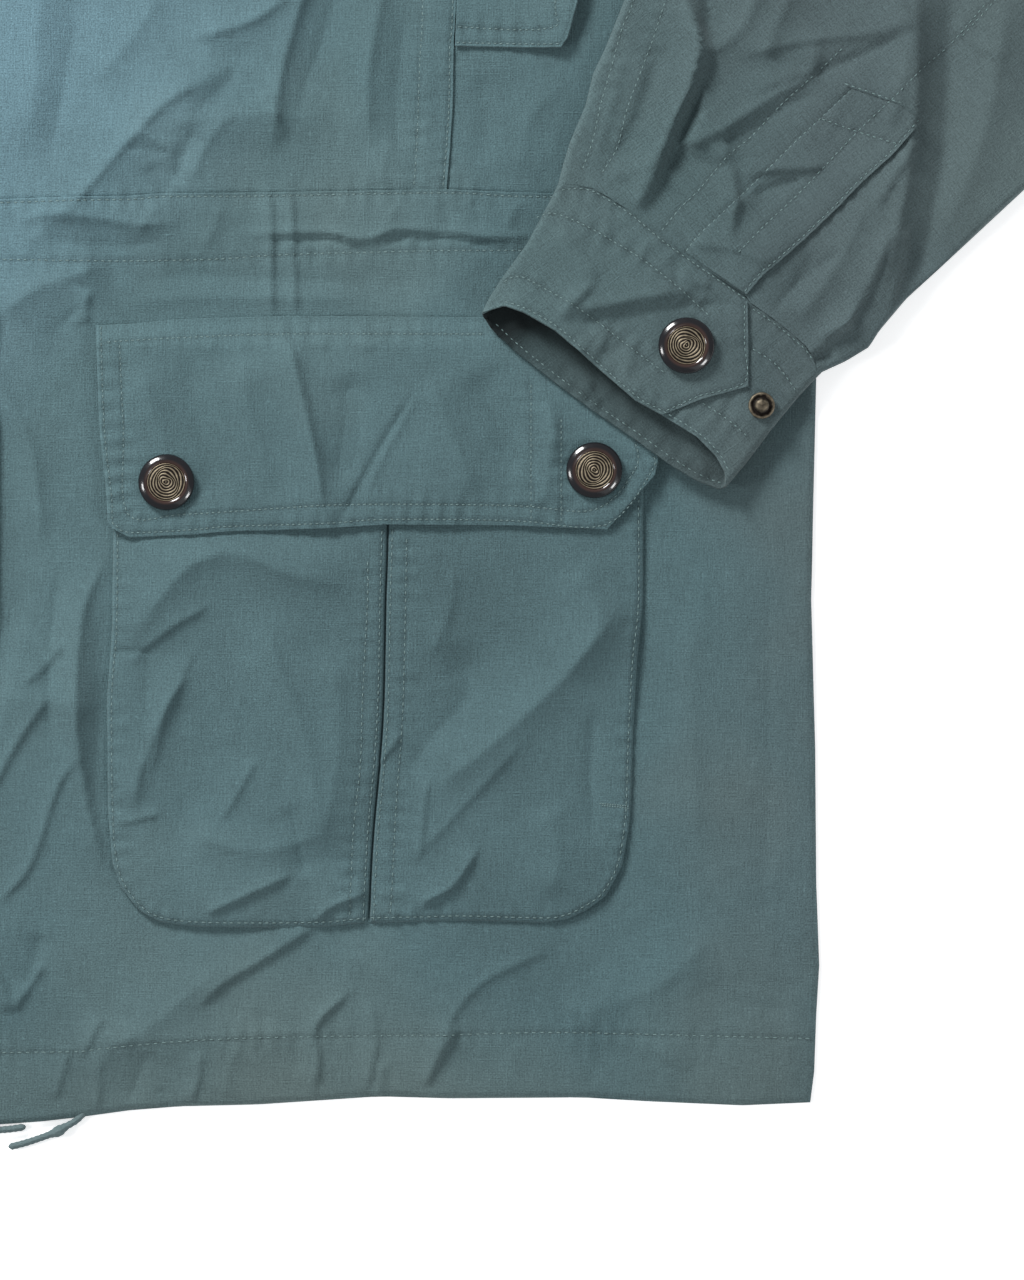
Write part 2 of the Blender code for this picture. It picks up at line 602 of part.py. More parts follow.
def collar():
    """A plain collar: it stands behind the neck and its two leaves lie on the fronts."""
    def place(u, v, level):
        side = -1.0 if u < 0.5 else 1.0
        share = abs(2.0 * u - 1.0)
        index = max(number for number, row in enumerate(COLLAR[:-1]) if row.share <= share + SAME_PLACE)
        low, high = COLLAR[index], COLLAR[index + 1]
        row = blended(low, high, (share - low.share) / (high.share - low.share))
        x = row.inner_x + (row.outer_x - row.inner_x) * v
        y = row.inner_y + (row.outer_y - row.inner_y) * v
        return side * x, y, row.under + WALL * level

    shares = sorted({row.share for row in COLLAR} | set(spread(9)))
    columns = [(1.0 - share) / 2.0 for share in shares[::-1]] + [(1.0 + share) / 2.0 for share in shares[1:]]
    cloth("collar", columns, spread(3), place)


def front_placket():
    """The strip over the front closure, with its row of snap caps."""
    low, high = -HALF_LENGTH + FRONT_PLACKET_END_GAP, FRONT_PLACKET_TOP
    right, left = -FRONT_PLACKET_HALF_WIDTH, FRONT_PLACKET_HALF_WIDTH
    plan = patch([(right, low), (left, low)], [(left, low), (left, high)],
                 [(right, high), (left, high)], [(right, low), (right, high)])
    panel("front_placket", 1.0, spread(2), spread(24), plan,
          lambda x, y, u, v: FRONT_TOP + LAYER_GAP, THIN_WALL)
    for number, y in enumerate(PLACKET_CAP_HEIGHTS, start=1):
        snap_cap(f"placket_cap_{number}", 0.0, y, FRONT_TOP + 2.0 * LAYER_GAP + THIN_WALL)


def drawstring(name, points):
    """A free end of the hem drawstring: a round tube on a smooth route, with closed ends."""
    route = smooth_route(points, 4)
    length = sum((after - before).length for before, after in zip(route, route[1:]))
    steps = round(length / DRAWSTRING_STEP)
    knots = [curve(route)(step / steps) for step in range(steps + 1)]
    line = bpy.data.curves.new(name, "CURVE")
    line.dimensions = "3D"
    line.bevel_depth = DRAWSTRING_RADIUS * MM
    line.bevel_resolution = 2
    line.use_fill_caps = True
    spline = line.splines.new("POLY")
    spline.points.add(steps)
    for place, knot in zip(spline.points, knots):
        place.co = (*(knot * MM), 1.0)
    line.materials.append(principled(name, CORD_COLOUR, CLOTH_ROUGHNESS, 0.0))
    bpy.context.collection.objects.link(bpy.data.objects.new(name, line))


def main():
    for old in list(bpy.data.objects):
        bpy.data.objects.remove(old)
    back()
    for side, prefix in ((1.0, "left"), (-1.0, "right")):
        front_pieces(side, prefix)
        chest_flap(side, prefix)
        pocket(side, prefix)
        pocket_flap(side, prefix)
        sleeve(side, prefix)
        sleeve_trim(side, prefix)
        fasteners(side, prefix)
    collar()
    front_placket()
    drawstring("left_drawstring", LEFT_DRAWSTRING)
    drawstring("right_drawstring", RIGHT_DRAWSTRING)


main()
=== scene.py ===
# %% [markdown]
# # A utility jacket, laid flat
#
# This notebook dresses a jacket that lies on its back with both sleeves bent over the body. Its stiff
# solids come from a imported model, the frame. Each piece of cloth gets a thin surface here, which
# follows its solid and adds the folds, seams and stitches that the solid leaves out.

# %% Load the frame
import json
import math
from collections import namedtuple

import bmesh
import bpy
import numpy as np
from mathutils import Matrix, Vector

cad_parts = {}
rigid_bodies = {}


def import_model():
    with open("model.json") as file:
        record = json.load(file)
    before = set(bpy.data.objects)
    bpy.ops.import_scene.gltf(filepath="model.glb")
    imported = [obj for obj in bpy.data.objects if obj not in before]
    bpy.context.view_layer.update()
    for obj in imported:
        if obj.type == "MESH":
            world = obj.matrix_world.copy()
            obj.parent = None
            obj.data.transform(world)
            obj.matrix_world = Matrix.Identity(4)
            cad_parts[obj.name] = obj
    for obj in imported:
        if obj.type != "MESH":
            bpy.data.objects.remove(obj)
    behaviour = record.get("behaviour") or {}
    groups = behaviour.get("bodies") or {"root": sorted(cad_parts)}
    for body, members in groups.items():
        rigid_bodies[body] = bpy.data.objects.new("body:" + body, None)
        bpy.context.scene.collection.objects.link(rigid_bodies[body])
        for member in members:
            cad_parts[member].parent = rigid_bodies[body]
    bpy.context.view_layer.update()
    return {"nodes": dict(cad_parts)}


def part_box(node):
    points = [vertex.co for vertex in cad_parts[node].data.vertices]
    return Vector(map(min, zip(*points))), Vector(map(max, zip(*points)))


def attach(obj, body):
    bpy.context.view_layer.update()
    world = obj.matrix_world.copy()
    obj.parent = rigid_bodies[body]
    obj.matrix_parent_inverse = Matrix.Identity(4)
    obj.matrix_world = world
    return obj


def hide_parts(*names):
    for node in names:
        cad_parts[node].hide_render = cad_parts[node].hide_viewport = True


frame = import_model()
print("frame:", len(frame["nodes"]), "solids")

# %% [markdown]
# ## The camera and the light
#
# The jacket was photographed from straight above, so the camera looks down at the wearer's lower left
# quarter through a long lens. A wide soft lamp up and to the left gives the folds their light and
# dark sides, and a pale sky fills the shadows. Tables in this notebook are in millimetres.

# %% Camera and lamps
MM = 0.001
VIEW_CENTRE = (224.8, -246.4)
VIEW_HEIGHT = 512.0
CAMERA_HEIGHT = 2200.0
SENSOR = 36.0

bpy.context.scene.view_settings.view_transform = "Standard"

camera = bpy.data.objects.new("camera", bpy.data.cameras.new("camera"))
camera.location = Vector((*VIEW_CENTRE, CAMERA_HEIGHT)) * MM
camera.data.sensor_fit = "VERTICAL"
camera.data.sensor_height = SENSOR
camera.data.lens = SENSOR * CAMERA_HEIGHT / VIEW_HEIGHT
bpy.context.collection.objects.link(camera)
bpy.context.scene.camera = camera


def lamp(name, place, aim, size, power):
    """A square lamp at a place, turned to its aim."""
    light = bpy.data.lights.new(name, "AREA")
    light.size = size
    light.energy = power
    holder = bpy.data.objects.new(name, light)
    holder.location = place
    holder.rotation_euler = (Vector(aim) - Vector(place)).to_track_quat("-Z", "Y").to_euler()
    bpy.context.collection.objects.link(holder)


lamp("key_lamp", (-0.90, 1.46, 1.26), (0.15, -0.2, 0.0), 0.66, 63.0)
lamp("fill_lamp", (1.6, -1.4, 1.9), (0.2, -0.2, 0.0), 2.0, 6.0)
lamp("left_glint", (-1.05, -0.36, 0.92), (0.2, -0.2, 0.0), 0.30, 6.0)
lamp("right_glint", (1.15, -0.85, 0.86), (0.2, -0.2, 0.0), 0.30, 4.5)

world = bpy.data.worlds.new("sky")
world.use_nodes = True
world.node_tree.nodes["Background"].inputs["Color"].default_value = (0.93, 0.96, 1.0, 1.0)
world.node_tree.nodes["Background"].inputs["Strength"].default_value = 0.31
bpy.context.scene.world = world
print("camera at", tuple(round(value, 3) for value in camera.location))

# %% [markdown]
# ## Shader maths
#
# Nodes are easier to read as sums. `Value` wraps a socket so that Python's operators add Math nodes,
# and `Recipe` makes any other node from its type, its settings and its inputs.

# %% Shader helpers
class Value:
    """A number that varies over a surface. Operators on it add Math nodes."""

    def __init__(self, tree, socket):
        self.tree = tree
        self.socket = socket

    def maths(self, operation, *others):
        node = self.tree.nodes.new("ShaderNodeMath")
        node.operation = operation
        for slot, value in zip(node.inputs, others):
            if isinstance(value, Value):
                self.tree.links.new(value.socket, slot)
            else:
                slot.default_value = value
        return Value(self.tree, node.outputs[0])

    def __add__(self, other):
        return self.maths("ADD", self, other)

    def __sub__(self, other):
        return self.maths("SUBTRACT", self, other)

    def __rsub__(self, other):
        return self.maths("SUBTRACT", other, self)

    def __mul__(self, other):
        return self.maths("MULTIPLY", self, other)

    __radd__ = __add__
    __rmul__ = __mul__

    def size(self):
        return self.maths("ABSOLUTE", self)

    def clamped(self):
        return self.maths("MINIMUM", self.maths("MAXIMUM", self, 0.0), 1.0)

    def swing(self, amount):
        """Noise as a swing to both sides of nothing."""
        return (self - 0.5) * amount

    def over(self, level, gain):
        """How far the value is over a level, from 0 to 1."""
        return ((self - level) * gain).clamped()


class Recipe:
    """A material's nodes, ending in its Principled shader."""

    def __init__(self, name):
        self.material = bpy.data.materials.new(name)
        self.material.use_nodes = True
        self.tree = self.material.node_tree
        self.shader = self.tree.nodes["Principled BSDF"]

    def node(self, kind, settings=None, **inputs):
        """A node of this kind, with its settings, then its inputs by name: Value, socket or constant."""
        node = self.tree.nodes.new(kind)
        for name, value in (settings or {}).items():
            setattr(node, name, value)
        for name, value in inputs.items():
            self.put(node.inputs[name.replace("_", " ")], value)
        return node

    def put(self, slot, value):
        if isinstance(value, Value):
            value = value.socket
        if isinstance(value, bpy.types.NodeSocket):
            self.tree.links.new(value, slot)
        else:
            slot.default_value = value

    def value(self, kind, output, settings=None, **inputs):
        return Value(self.tree, self.node(kind, settings, **inputs).outputs[output])

    def cut_place(self, across, along):
        """The place on the cut cloth (its UV map, in metres), stretched for a pattern."""
        place = self.node("ShaderNodeUVMap", {"uv_map": "cut"}).outputs["UV"]
        stretch = self.node("ShaderNodeVectorMath", {"operation": "MULTIPLY"})
        self.put(stretch.inputs[0], place)
        stretch.inputs[1].default_value = (across, along, 1.0)
        return stretch.outputs[0]

    def noise(self, across, along, detail=2.0):
        """Noise over the cut cloth, with so many swells to the metre across and along it."""
        return self.value("ShaderNodeTexNoise", "Fac", {"noise_dimensions": "2D"},
                          Vector=self.cut_place(across, along), Scale=1.0, Detail=detail)

    def mark(self, name):
        """A measure kept on the mesh's points."""
        return self.value("ShaderNodeAttribute", "Fac", {"attribute_name": name})

    def bump(self, height, distance, **inputs):
        """A normal tilted by small heights, this many metres high."""
        return self.node("ShaderNodeBump", Height=height, Distance=distance, **inputs).outputs[0]

    def blend(self, share, first, second, mode="MIX"):
        mix = self.node("ShaderNodeMix", {"data_type": "RGBA", "blend_type": mode})
        self.put(mix.inputs[0], share)
        self.put(mix.inputs[6], first)
        self.put(mix.inputs[7], second)
        return mix.outputs[2]

    def finish(self, **inputs):
        for name, value in inputs.items():
            self.put(self.shader.inputs[name.replace("_", " ")], value)
        return self.material


# %% [markdown]
# ## The cloth
#
# The jacket is a plain poplin: fine threads both ways, with thin pale slubs here and there. The
# threads are noise drawn out along the cut cloth, once across and once along, so they are uneven as
# real yarn is and never make a moire pattern. Painted light makes it paler and bluer on the chest,
# painted shade makes it darker and greyer towards the side seam, and washing left it a little green
# at the hem. Edges that rub are paler, and painted shade darkens the grooves of the stitches and the
# inside of the cuff's mouth. Small crumples, too fine for the mesh, are bump: soft ones, and sharp
# ones in patches.

# %% Cloth material
PAINTED_LIGHT_BLUE = (0.128, 0.226, 0.268, 1.0)
TEAL = (0.078, 0.138, 0.150, 1.0)
SLEEVE_TEAL = (0.078, 0.128, 0.134, 1.0)
INSIDE_SHADE = (0.004, 0.009, 0.010, 1.0)
PAINTED_SHADE_GREY = (0.077, 0.111, 0.117, 1.0)
GREEN = (0.090, 0.126, 0.123, 1.0)
DARK_SHADE = (0.55, 0.55, 0.55, 1.0)
PALE_SHADE = (1.45, 1.45, 1.45, 1.0)


def poplin(name, own, greyer_from, greener):
    """Washed poplin with painted light in blue at the upper left, its own colour, painted shade in grey to the right
    and green at the hem.
    """
    recipe = Recipe(name)
    place = recipe.node("ShaderNodeTexCoord").outputs["Object"]
    split = recipe.node("ShaderNodeSeparateXYZ", Vector=place)
    aside, north = Value(recipe.tree, split.outputs["X"]).size(), Value(recipe.tree, split.outputs["Y"])
    wash = recipe.noise(7.0, 6.0, 3.0)
    blotch = recipe.noise(34.0, 28.0, 3.0)
    # Painted light blends the chest towards a paler blue, and painted shade blends the cloth towards a darker grey from
    # this distance out.
    colour = recipe.blend((((north * 0.8 + 1.0).clamped() - 0.9 - aside) * 8.0 + wash * 0.8 + 0.1).clamped(), own, PAINTED_LIGHT_BLUE)
    colour = recipe.blend(((aside - greyer_from) * 8.0 + wash.swing(2.0)).clamped(), colour, PAINTED_SHADE_GREY)
    low = ((-0.36 - north) * 14.0).clamped() * 0.5 + greener
    colour = recipe.blend((low + wash.swing(1.6)).clamped(), colour, GREEN)
    warp = recipe.noise(2300.0, 120.0)
    weft = recipe.noise(120.0, 2300.0)
    fuzz = recipe.noise(1500.0, 1500.0, 3.0)
    slubs = recipe.noise(1300.0, 30.0, 1.0).over(0.64, 7.0)
    cross_slubs = recipe.noise(30.0, 1300.0, 1.0).over(0.64, 7.0)
    specks = recipe.noise(420.0, 420.0, 1.0).over(0.76, 20.0)
    rubbed = recipe.mark("rubbed")
    # Painted shade: this mark darkens the cloth along the grooves of the rows of stitches.
    sewn = recipe.mark("sewn")
    shade = (wash.swing(0.55) + blotch.swing(0.22) + warp.swing(0.46) + weft.swing(0.36)
             + fuzz.swing(1.2) + slubs * 0.10 + cross_slubs * 0.10 + specks * 0.25 + rubbed * 0.16 - sewn * 0.22
             + 0.46).clamped()
    colour = recipe.blend(1.0, colour, recipe.blend(shade, DARK_SHADE, PALE_SHADE), "MULTIPLY")
    # Painted shade: the inside mark blends the colour towards near black inside the cuff's mouth.
    inside = recipe.mark("inside")
    colour = recipe.blend(inside.clamped(), colour, INSIDE_SHADE)
    threads = warp * 0.4 + weft * 0.4 + fuzz * 0.7 + slubs * 0.2 + cross_slubs * 0.2
    fine = recipe.bump(threads, 0.0005, Strength=0.7)
    sharp = (recipe.noise(30.0, 24.0, 3.0) - 0.5).size() * recipe.noise(11.0, 9.0, 1.0).over(0.42, 5.0)
    crumple = recipe.noise(85.0, 60.0, 3.0) + recipe.noise(150.0, 20.0, 2.0) * 0.45 + sharp * 4.0
    soft = recipe.bump(crumple, 0.0012, Strength=0.42, Normal=fine)
    return recipe.finish(Base_Color=colour, Roughness=0.88, Normal=soft, Sheen_Weight=0.10,
                         Sheen_Roughness=0.5, Specular_IOR_Level=0.25)


body_cloth = poplin("body_cloth", TEAL, 0.27, 0.0)
sleeve_cloth = poplin("sleeve_cloth", SLEEVE_TEAL, 0.19, 0.22)
print("cloth:", body_cloth.name, "and", sleeve_cloth.name)

# %% [markdown]
# ## Lines, panels and creases
#
# A cut panel is a flat grid inside four edges. `smooth` rounds an edge through its measured points,
# `curve` reads it by the share of its length, and `patch` fills the panel between four of them. A
# crease is a line with a height and a width on each side of it. These work on whole arrays of points.

# %% Plan helpers
Crease = namedtuple("Crease", "height shade light points")
MM_PER_PIXEL = 0.4
PHOTO_LEFT, PHOTO_TOP = 20.0, 9.6


def seen(*pixels):
    """Places measured on the photograph, from its pixels to millimetres on the jacket."""
    return [(PHOTO_LEFT + MM_PER_PIXEL * across, PHOTO_TOP - MM_PER_PIXEL * down) for across, down in pixels]


def folds(*rows):
    """Creases from rows of height, width on the shaded side, width on the lit side and places seen along them."""
    return [Crease(*row[:3], seen(*row[3:])) for row in rows]


def smooth(points, pieces=6):
    """More points on a smooth curve through these (Catmull-Rom)."""
    knots = np.array(points, float)
    knots = np.vstack([knots[0], knots, knots[-1]])
    steps = np.arange(pieces)[:, None] / pieces
    runs = []
    for before, start, end, after in zip(knots, knots[1:], knots[2:], knots[3:]):
        runs.append(0.5 * (2 * start + (end - before) * steps
                           + (2 * before - 5 * start + 4 * end - after) * steps ** 2
                           + (3 * start - before - 3 * end + after) * steps ** 3))
    return np.vstack(runs + [knots[-1:]])


def curve(points):
    """The line through these points, read by the share of its length."""
    knots = np.array(points, float)
    lengths = np.concatenate([[0.0], np.cumsum(np.linalg.norm(np.diff(knots, axis=0), axis=1))])

    def at(share):
        place = np.asarray(share) * lengths[-1]
        return np.stack([np.interp(place, lengths, knots[:, axis]) for axis in range(knots.shape[1])], -1)

    at.length = lengths[-1]
    return at


def patch(bottom, right, top, left):
    """A point of the panel inside four edges, each read left to right or bottom to top."""
    bottom, right, top, left = (curve(edge) for edge in (bottom, right, top, left))

    def at(u, v):
        u, v = np.asarray(u)[..., None], np.asarray(v)[..., None]
        across = left(v[..., 0]) * (1 - u) + right(v[..., 0]) * u
        upward = bottom(u[..., 0]) * (1 - v) + top(u[..., 0]) * v
        low = bottom(0.0) * (1 - u) + bottom(1.0) * u
        high = top(0.0) * (1 - u) + top(1.0) * u
        return across + upward - low * (1 - v) - high * v

    return at


def nearest(x, y, points):
    """Distance from places to a line of points, which side they are on (+1 left) and the share along it."""
    knots = np.array(points, float)
    runs = np.diff(knots, axis=0)
    lengths = np.linalg.norm(runs, axis=1)
    starts = np.concatenate([[0.0], np.cumsum(lengths)])
    best = np.full(np.shape(x), 1e9)
    side = np.ones(np.shape(x))
    share = np.zeros(np.shape(x))
    for start, run, length, before in zip(knots, runs, lengths, starts):
        dx, dy = x - start[0], y - start[1]
        part = np.clip((dx * run[0] + dy * run[1]) / length ** 2, 0.0, 1.0)
        distance = np.hypot(dx - run[0] * part, dy - run[1] * part)
        closer = distance < best
        best = np.where(closer, distance, best)
        side = np.where(closer, np.sign(run[0] * dy - run[1] * dx), side)
        share = np.where(closer, (before + part * length) / starts[-1], share)
    return best, side, share


def away(x, y, points):
    """Distance from places to a line of points."""
    return nearest(x, y, points)[0]


def bell(distance, width):
    """A smooth bump: 1 on a line and next to nothing at twice this width from it."""
    return np.exp(-(distance / width) ** 2)


def smoothstep(low, high, value):
    """From 0 at the low value to 1 at the high one, level at both ends."""
    share = np.clip((value - low) / (high - low), 0.0, 1.0)
    return share * share * (3 - 2 * share)


CREASE_REACH = 3.6
CREASE_FADE = 0.22
CREASE_ROUND = 1.2
SHADE_WAY = (0.6, -0.8)
PINCH_WIDTH, PINCH_LEAST = 0.22, 0.9
CRISP_BELOW, CRISP_SHARE, SOFT_SHARE = 7.0, 0.22, 0.06


def creases(table, x, y):
    """The height that the creases of a table give these places. Each has one width on the side away
    from the light, below and to the right of it, and one on the lit side."""
    total = np.zeros(np.shape(x))
    for crease in table:
        knots = np.array(crease.points, float)
        run = knots[-1] - knots[0]
        if -run[1] * SHADE_WAY[0] + run[0] * SHADE_WAY[1] < 0:
            knots = knots[::-1]
        reach = CREASE_REACH * max(crease.shade, crease.light)
        near = ((x > knots[:, 0].min() - reach) & (x < knots[:, 0].max() + reach)
                & (y > knots[:, 1].min() - reach) & (y < knots[:, 1].max() + reach))
        if not near.any():
            continue
        distance, side, share = nearest(x[near], y[near], smooth(knots, 4))
        width = np.where(side > 0, crease.shade, crease.light)
        ends = smoothstep(0.0, CREASE_FADE, share) * smoothstep(0.0, CREASE_FADE, 1 - share)
        pinch = np.exp(-(distance / np.maximum(width * PINCH_WIDTH, PINCH_LEAST)) ** CREASE_ROUND)
        crisp = CRISP_SHARE if min(crease.shade, crease.light) < CRISP_BELOW else SOFT_SHARE
        soft = np.exp(-(distance / width) ** CREASE_ROUND)
        total[near] += crease.height * ((1 - crisp) * soft + crisp * pinch) * ends
    return total


def waves(x, y, seed, size, height):
    """Soft uneven swells: a few crossing sine waves of about this size."""
    rng = np.random.default_rng(seed)
    total = np.zeros(np.shape(x))
    for _ in range(9):
        angle, phase = rng.uniform(0, 2 * math.pi, 2)
        pitch = size * rng.uniform(0.7, 1.6)
        total += np.sin((x * math.cos(angle) + y * math.sin(angle)) * 2 * math.pi / pitch + phase)
    return total * height / 3.0


# %% [markdown]
# ## The outline of the body
#
# The edges were measured on the photograph at 0.40 mm to the pixel. Beyond it and on the other half
# they follow the solids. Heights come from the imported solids, so each surface lies on its own solid.

# %% Measured edges
HEM = [(0.0, -440.0), (20.0, -440.0), (37.2, -438.8), (54.4, -436.8), (71.6, -434.4), (91.6, -432.8),
       (124.0, -432.0), (171.6, -428.8), (200.0, -429.6), (252.8, -429.2), (279.6, -430.8),
       (316.8, -432.4), (344.0, -431.2)]
SIDE_SEAM = [(344.0, -431.2), (345.6, -418.8), (346.4, -396.4), (347.6, -376.4), (346.4, -343.2),
             (346.0, -290.0), (344.4, -230.4), (345.2, -193.2), (346.4, -142.4), (346.4, -68.4)]
ARMHOLE = [(346.4, -68.4), (346.0, 34.0), (322.5, 62.0), (307.5, 110.0), (303.0, 170.0), (289.5, 230.0),
           (273.0, 285.0), (264.0, 316.4)]
WAIST = [(0.0, -70.6)] + seen((0,200), (131,197), (163,194), (271,193), (446,190), (545,194)) + [(346.4, -68.4)]
PRINCESS_SEAM = seen((447,188), (450,153), (453,107), (454,46), (457,0)) + [
    (205.0, 120.0), (196.0, 240.0), (180.0, 344.3)]
FRONT_NECKLINE = [(0.0, 300.0), (25.0, 303.0), (58.0, 318.0), (80.0, 345.0), (88.0, 376.0)]
BACK_NECKLINE = [(0.0, 364.0), (40.0, 366.0), (70.0, 370.0), (88.0, 376.0)]
BODY_OUTLINE = HEM + SIDE_SEAM[1:] + ARMHOLE[1:] + BACK_NECKLINE[::-1]


def top_of(node):
    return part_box(node)[1].z / MM


BACK_TOP = top_of("back")
LAYER_GAP = 0.3
FRONT_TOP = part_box("front_placket")[0].z / MM - LAYER_GAP
print("front surface at", round(FRONT_TOP, 2), "mm over the back's", round(BACK_TOP, 2), "mm")

# %% [markdown]
# ## Folds of the body
#
# Most of what the eye reads as cloth is here: each row is one fold in the photograph, as high, wide
# and long as it looks there, and the hidden half and the chest have folds of the same kind.

# %% Fold tables
CHEST_FOLDS = folds(
    (2.4, 19, 14, (150,130), (210,120), (270,116), (340,122)),
    (5, 28, 16, (14,276), (36,240), (84,196), (131,140), (170,100), (230,70), (280,56)),
    (1.2, 1.8, 12, (60,226), (84,196), (110,166), (134,139), (158,114), (192,92), (224,84)),
    (0.8, 1.4, 6, (196,40), (242,28), (270,12), (290,-12)),
    (-1.2, 14, 12, (160,200), (190,150), (214,110), (236,70)),
    (1.5, 1.5, 3.5, (132,134), (150,138), (172,156), (182,158)),
    (-1.6, 6, 5, (196,128), (186,150), (176,186)),
    (1.3, 2, 5, (262,90), (280,120), (284,134), (292,140)),
    (-1, 2.2, 1.6, (118,149), (131,149), (152,151), (176,155), (190,160)),
    (2.6, 6, 9, (180,44), (196,39), (242,26), (278,7), (330,-40)),
    (4, 4.6, 13, (318,-40), (300,10), (283,70), (277,118), (272,160)),
    (-1.2, 8, 3, (338,-30), (326,30), (304,90), (296,140)),
    (2.9, 6, 9, (392,-40), (376,30), (368,90), (372,150)),
    (-1.4, 6, 5, (404,10), (400,60), (396,120), (404,165)),
    (2, 1.3, 3, (270,176), (270,204), (271,232), (271,260), (273,330)),
    (2, 1.3, 3, (290,176), (292,204), (293,232), (294,260), (297,330)),
    (2.9, 12, 14, (52,-60), (40,20), (36,90), (20,170)),
    (-2.1, 8, 8, (90,-40), (74,40), (60,110), (48,180)),
    (1.9, 8, 10, (170,-30), (140,30), (90,90)),
    (-1.9, 10, 8, (250,40), (230,80), (190,120)),
    (1.6, 5, 7, (236,110), (205,150), (190,190)),
    (-1.3, 5, 5, (150,165), (160,185), (172,196)),
    (1, 4, 5, (392,140), (384,165), (380,190)),
    (1.4, 7, 9, (520,180), (530,120), (570,80)),
    (-1.3, 7, 7, (480,170), (485,120), (480,70)),
) + [
    Crease(2.9, 14.0, 18.0, [(150.0, 70.0), (134.0, 140.0), (120.0, 220.0)]),
    Crease(2.6, 10.0, 16.0, [(52.0, 100.0), (74.0, 170.0), (96.0, 262.0)]),
    Crease(-2.2, 6.0, 9.0, [(96.0, 60.0), (110.0, 130.0), (100.0, 190.0)]),
    Crease(2.2, 8.0, 12.0, [(240.0, 170.0), (232.0, 220.0), (224.0, 290.0)]),
    Crease(1.9, 6.0, 8.0, [(130.0, 250.0), (160.0, 280.0), (170.0, 320.0)]),
]
WAIST_FOLDS = folds(
    (2.4, 1.5, 7, (226,236), (270,235), (330,234), (354,240), (376,238), (396,230), (440,233), (500,238), (560,236)),
    (-1.4, 1.2, 1.6, (262,238), (285,241), (307,240), (336,240), (350,247), (362,251), (378,248)),
    (-1.5, 1.3, 1.6, (384,244), (392,242), (405,238), (412,234)),
    (-1.5, 1.3, 1.8, (412,240), (425,241), (440,237), (457,238), (475,244), (500,247)),
    (3, 5, 8, (10,226), (50,216), (100,220), (140,226), (190,222)),
    (-0.9, 3, 3, (40,240), (90,246), (140,246), (170,238)),
    (0.9, 2.5, 4, (224,205), (214,228), (204,250)),
    (0.8, 2.5, 4, (160,204), (148,222), (136,240)),
    (-0.8, 2, 2, (440,203), (447,215), (450,232)),
    (-0.7, 2, 2, (472,200), (476,212), (476,232)),
    (0.7, 2, 3, (398,203), (392,215), (386,228)),
    (0.8, 2, 3, (520,202), (512,215), (508,232)),
    (-0.7, 2.4, 2.4, (24,205), (34,220), (36,238)),
)
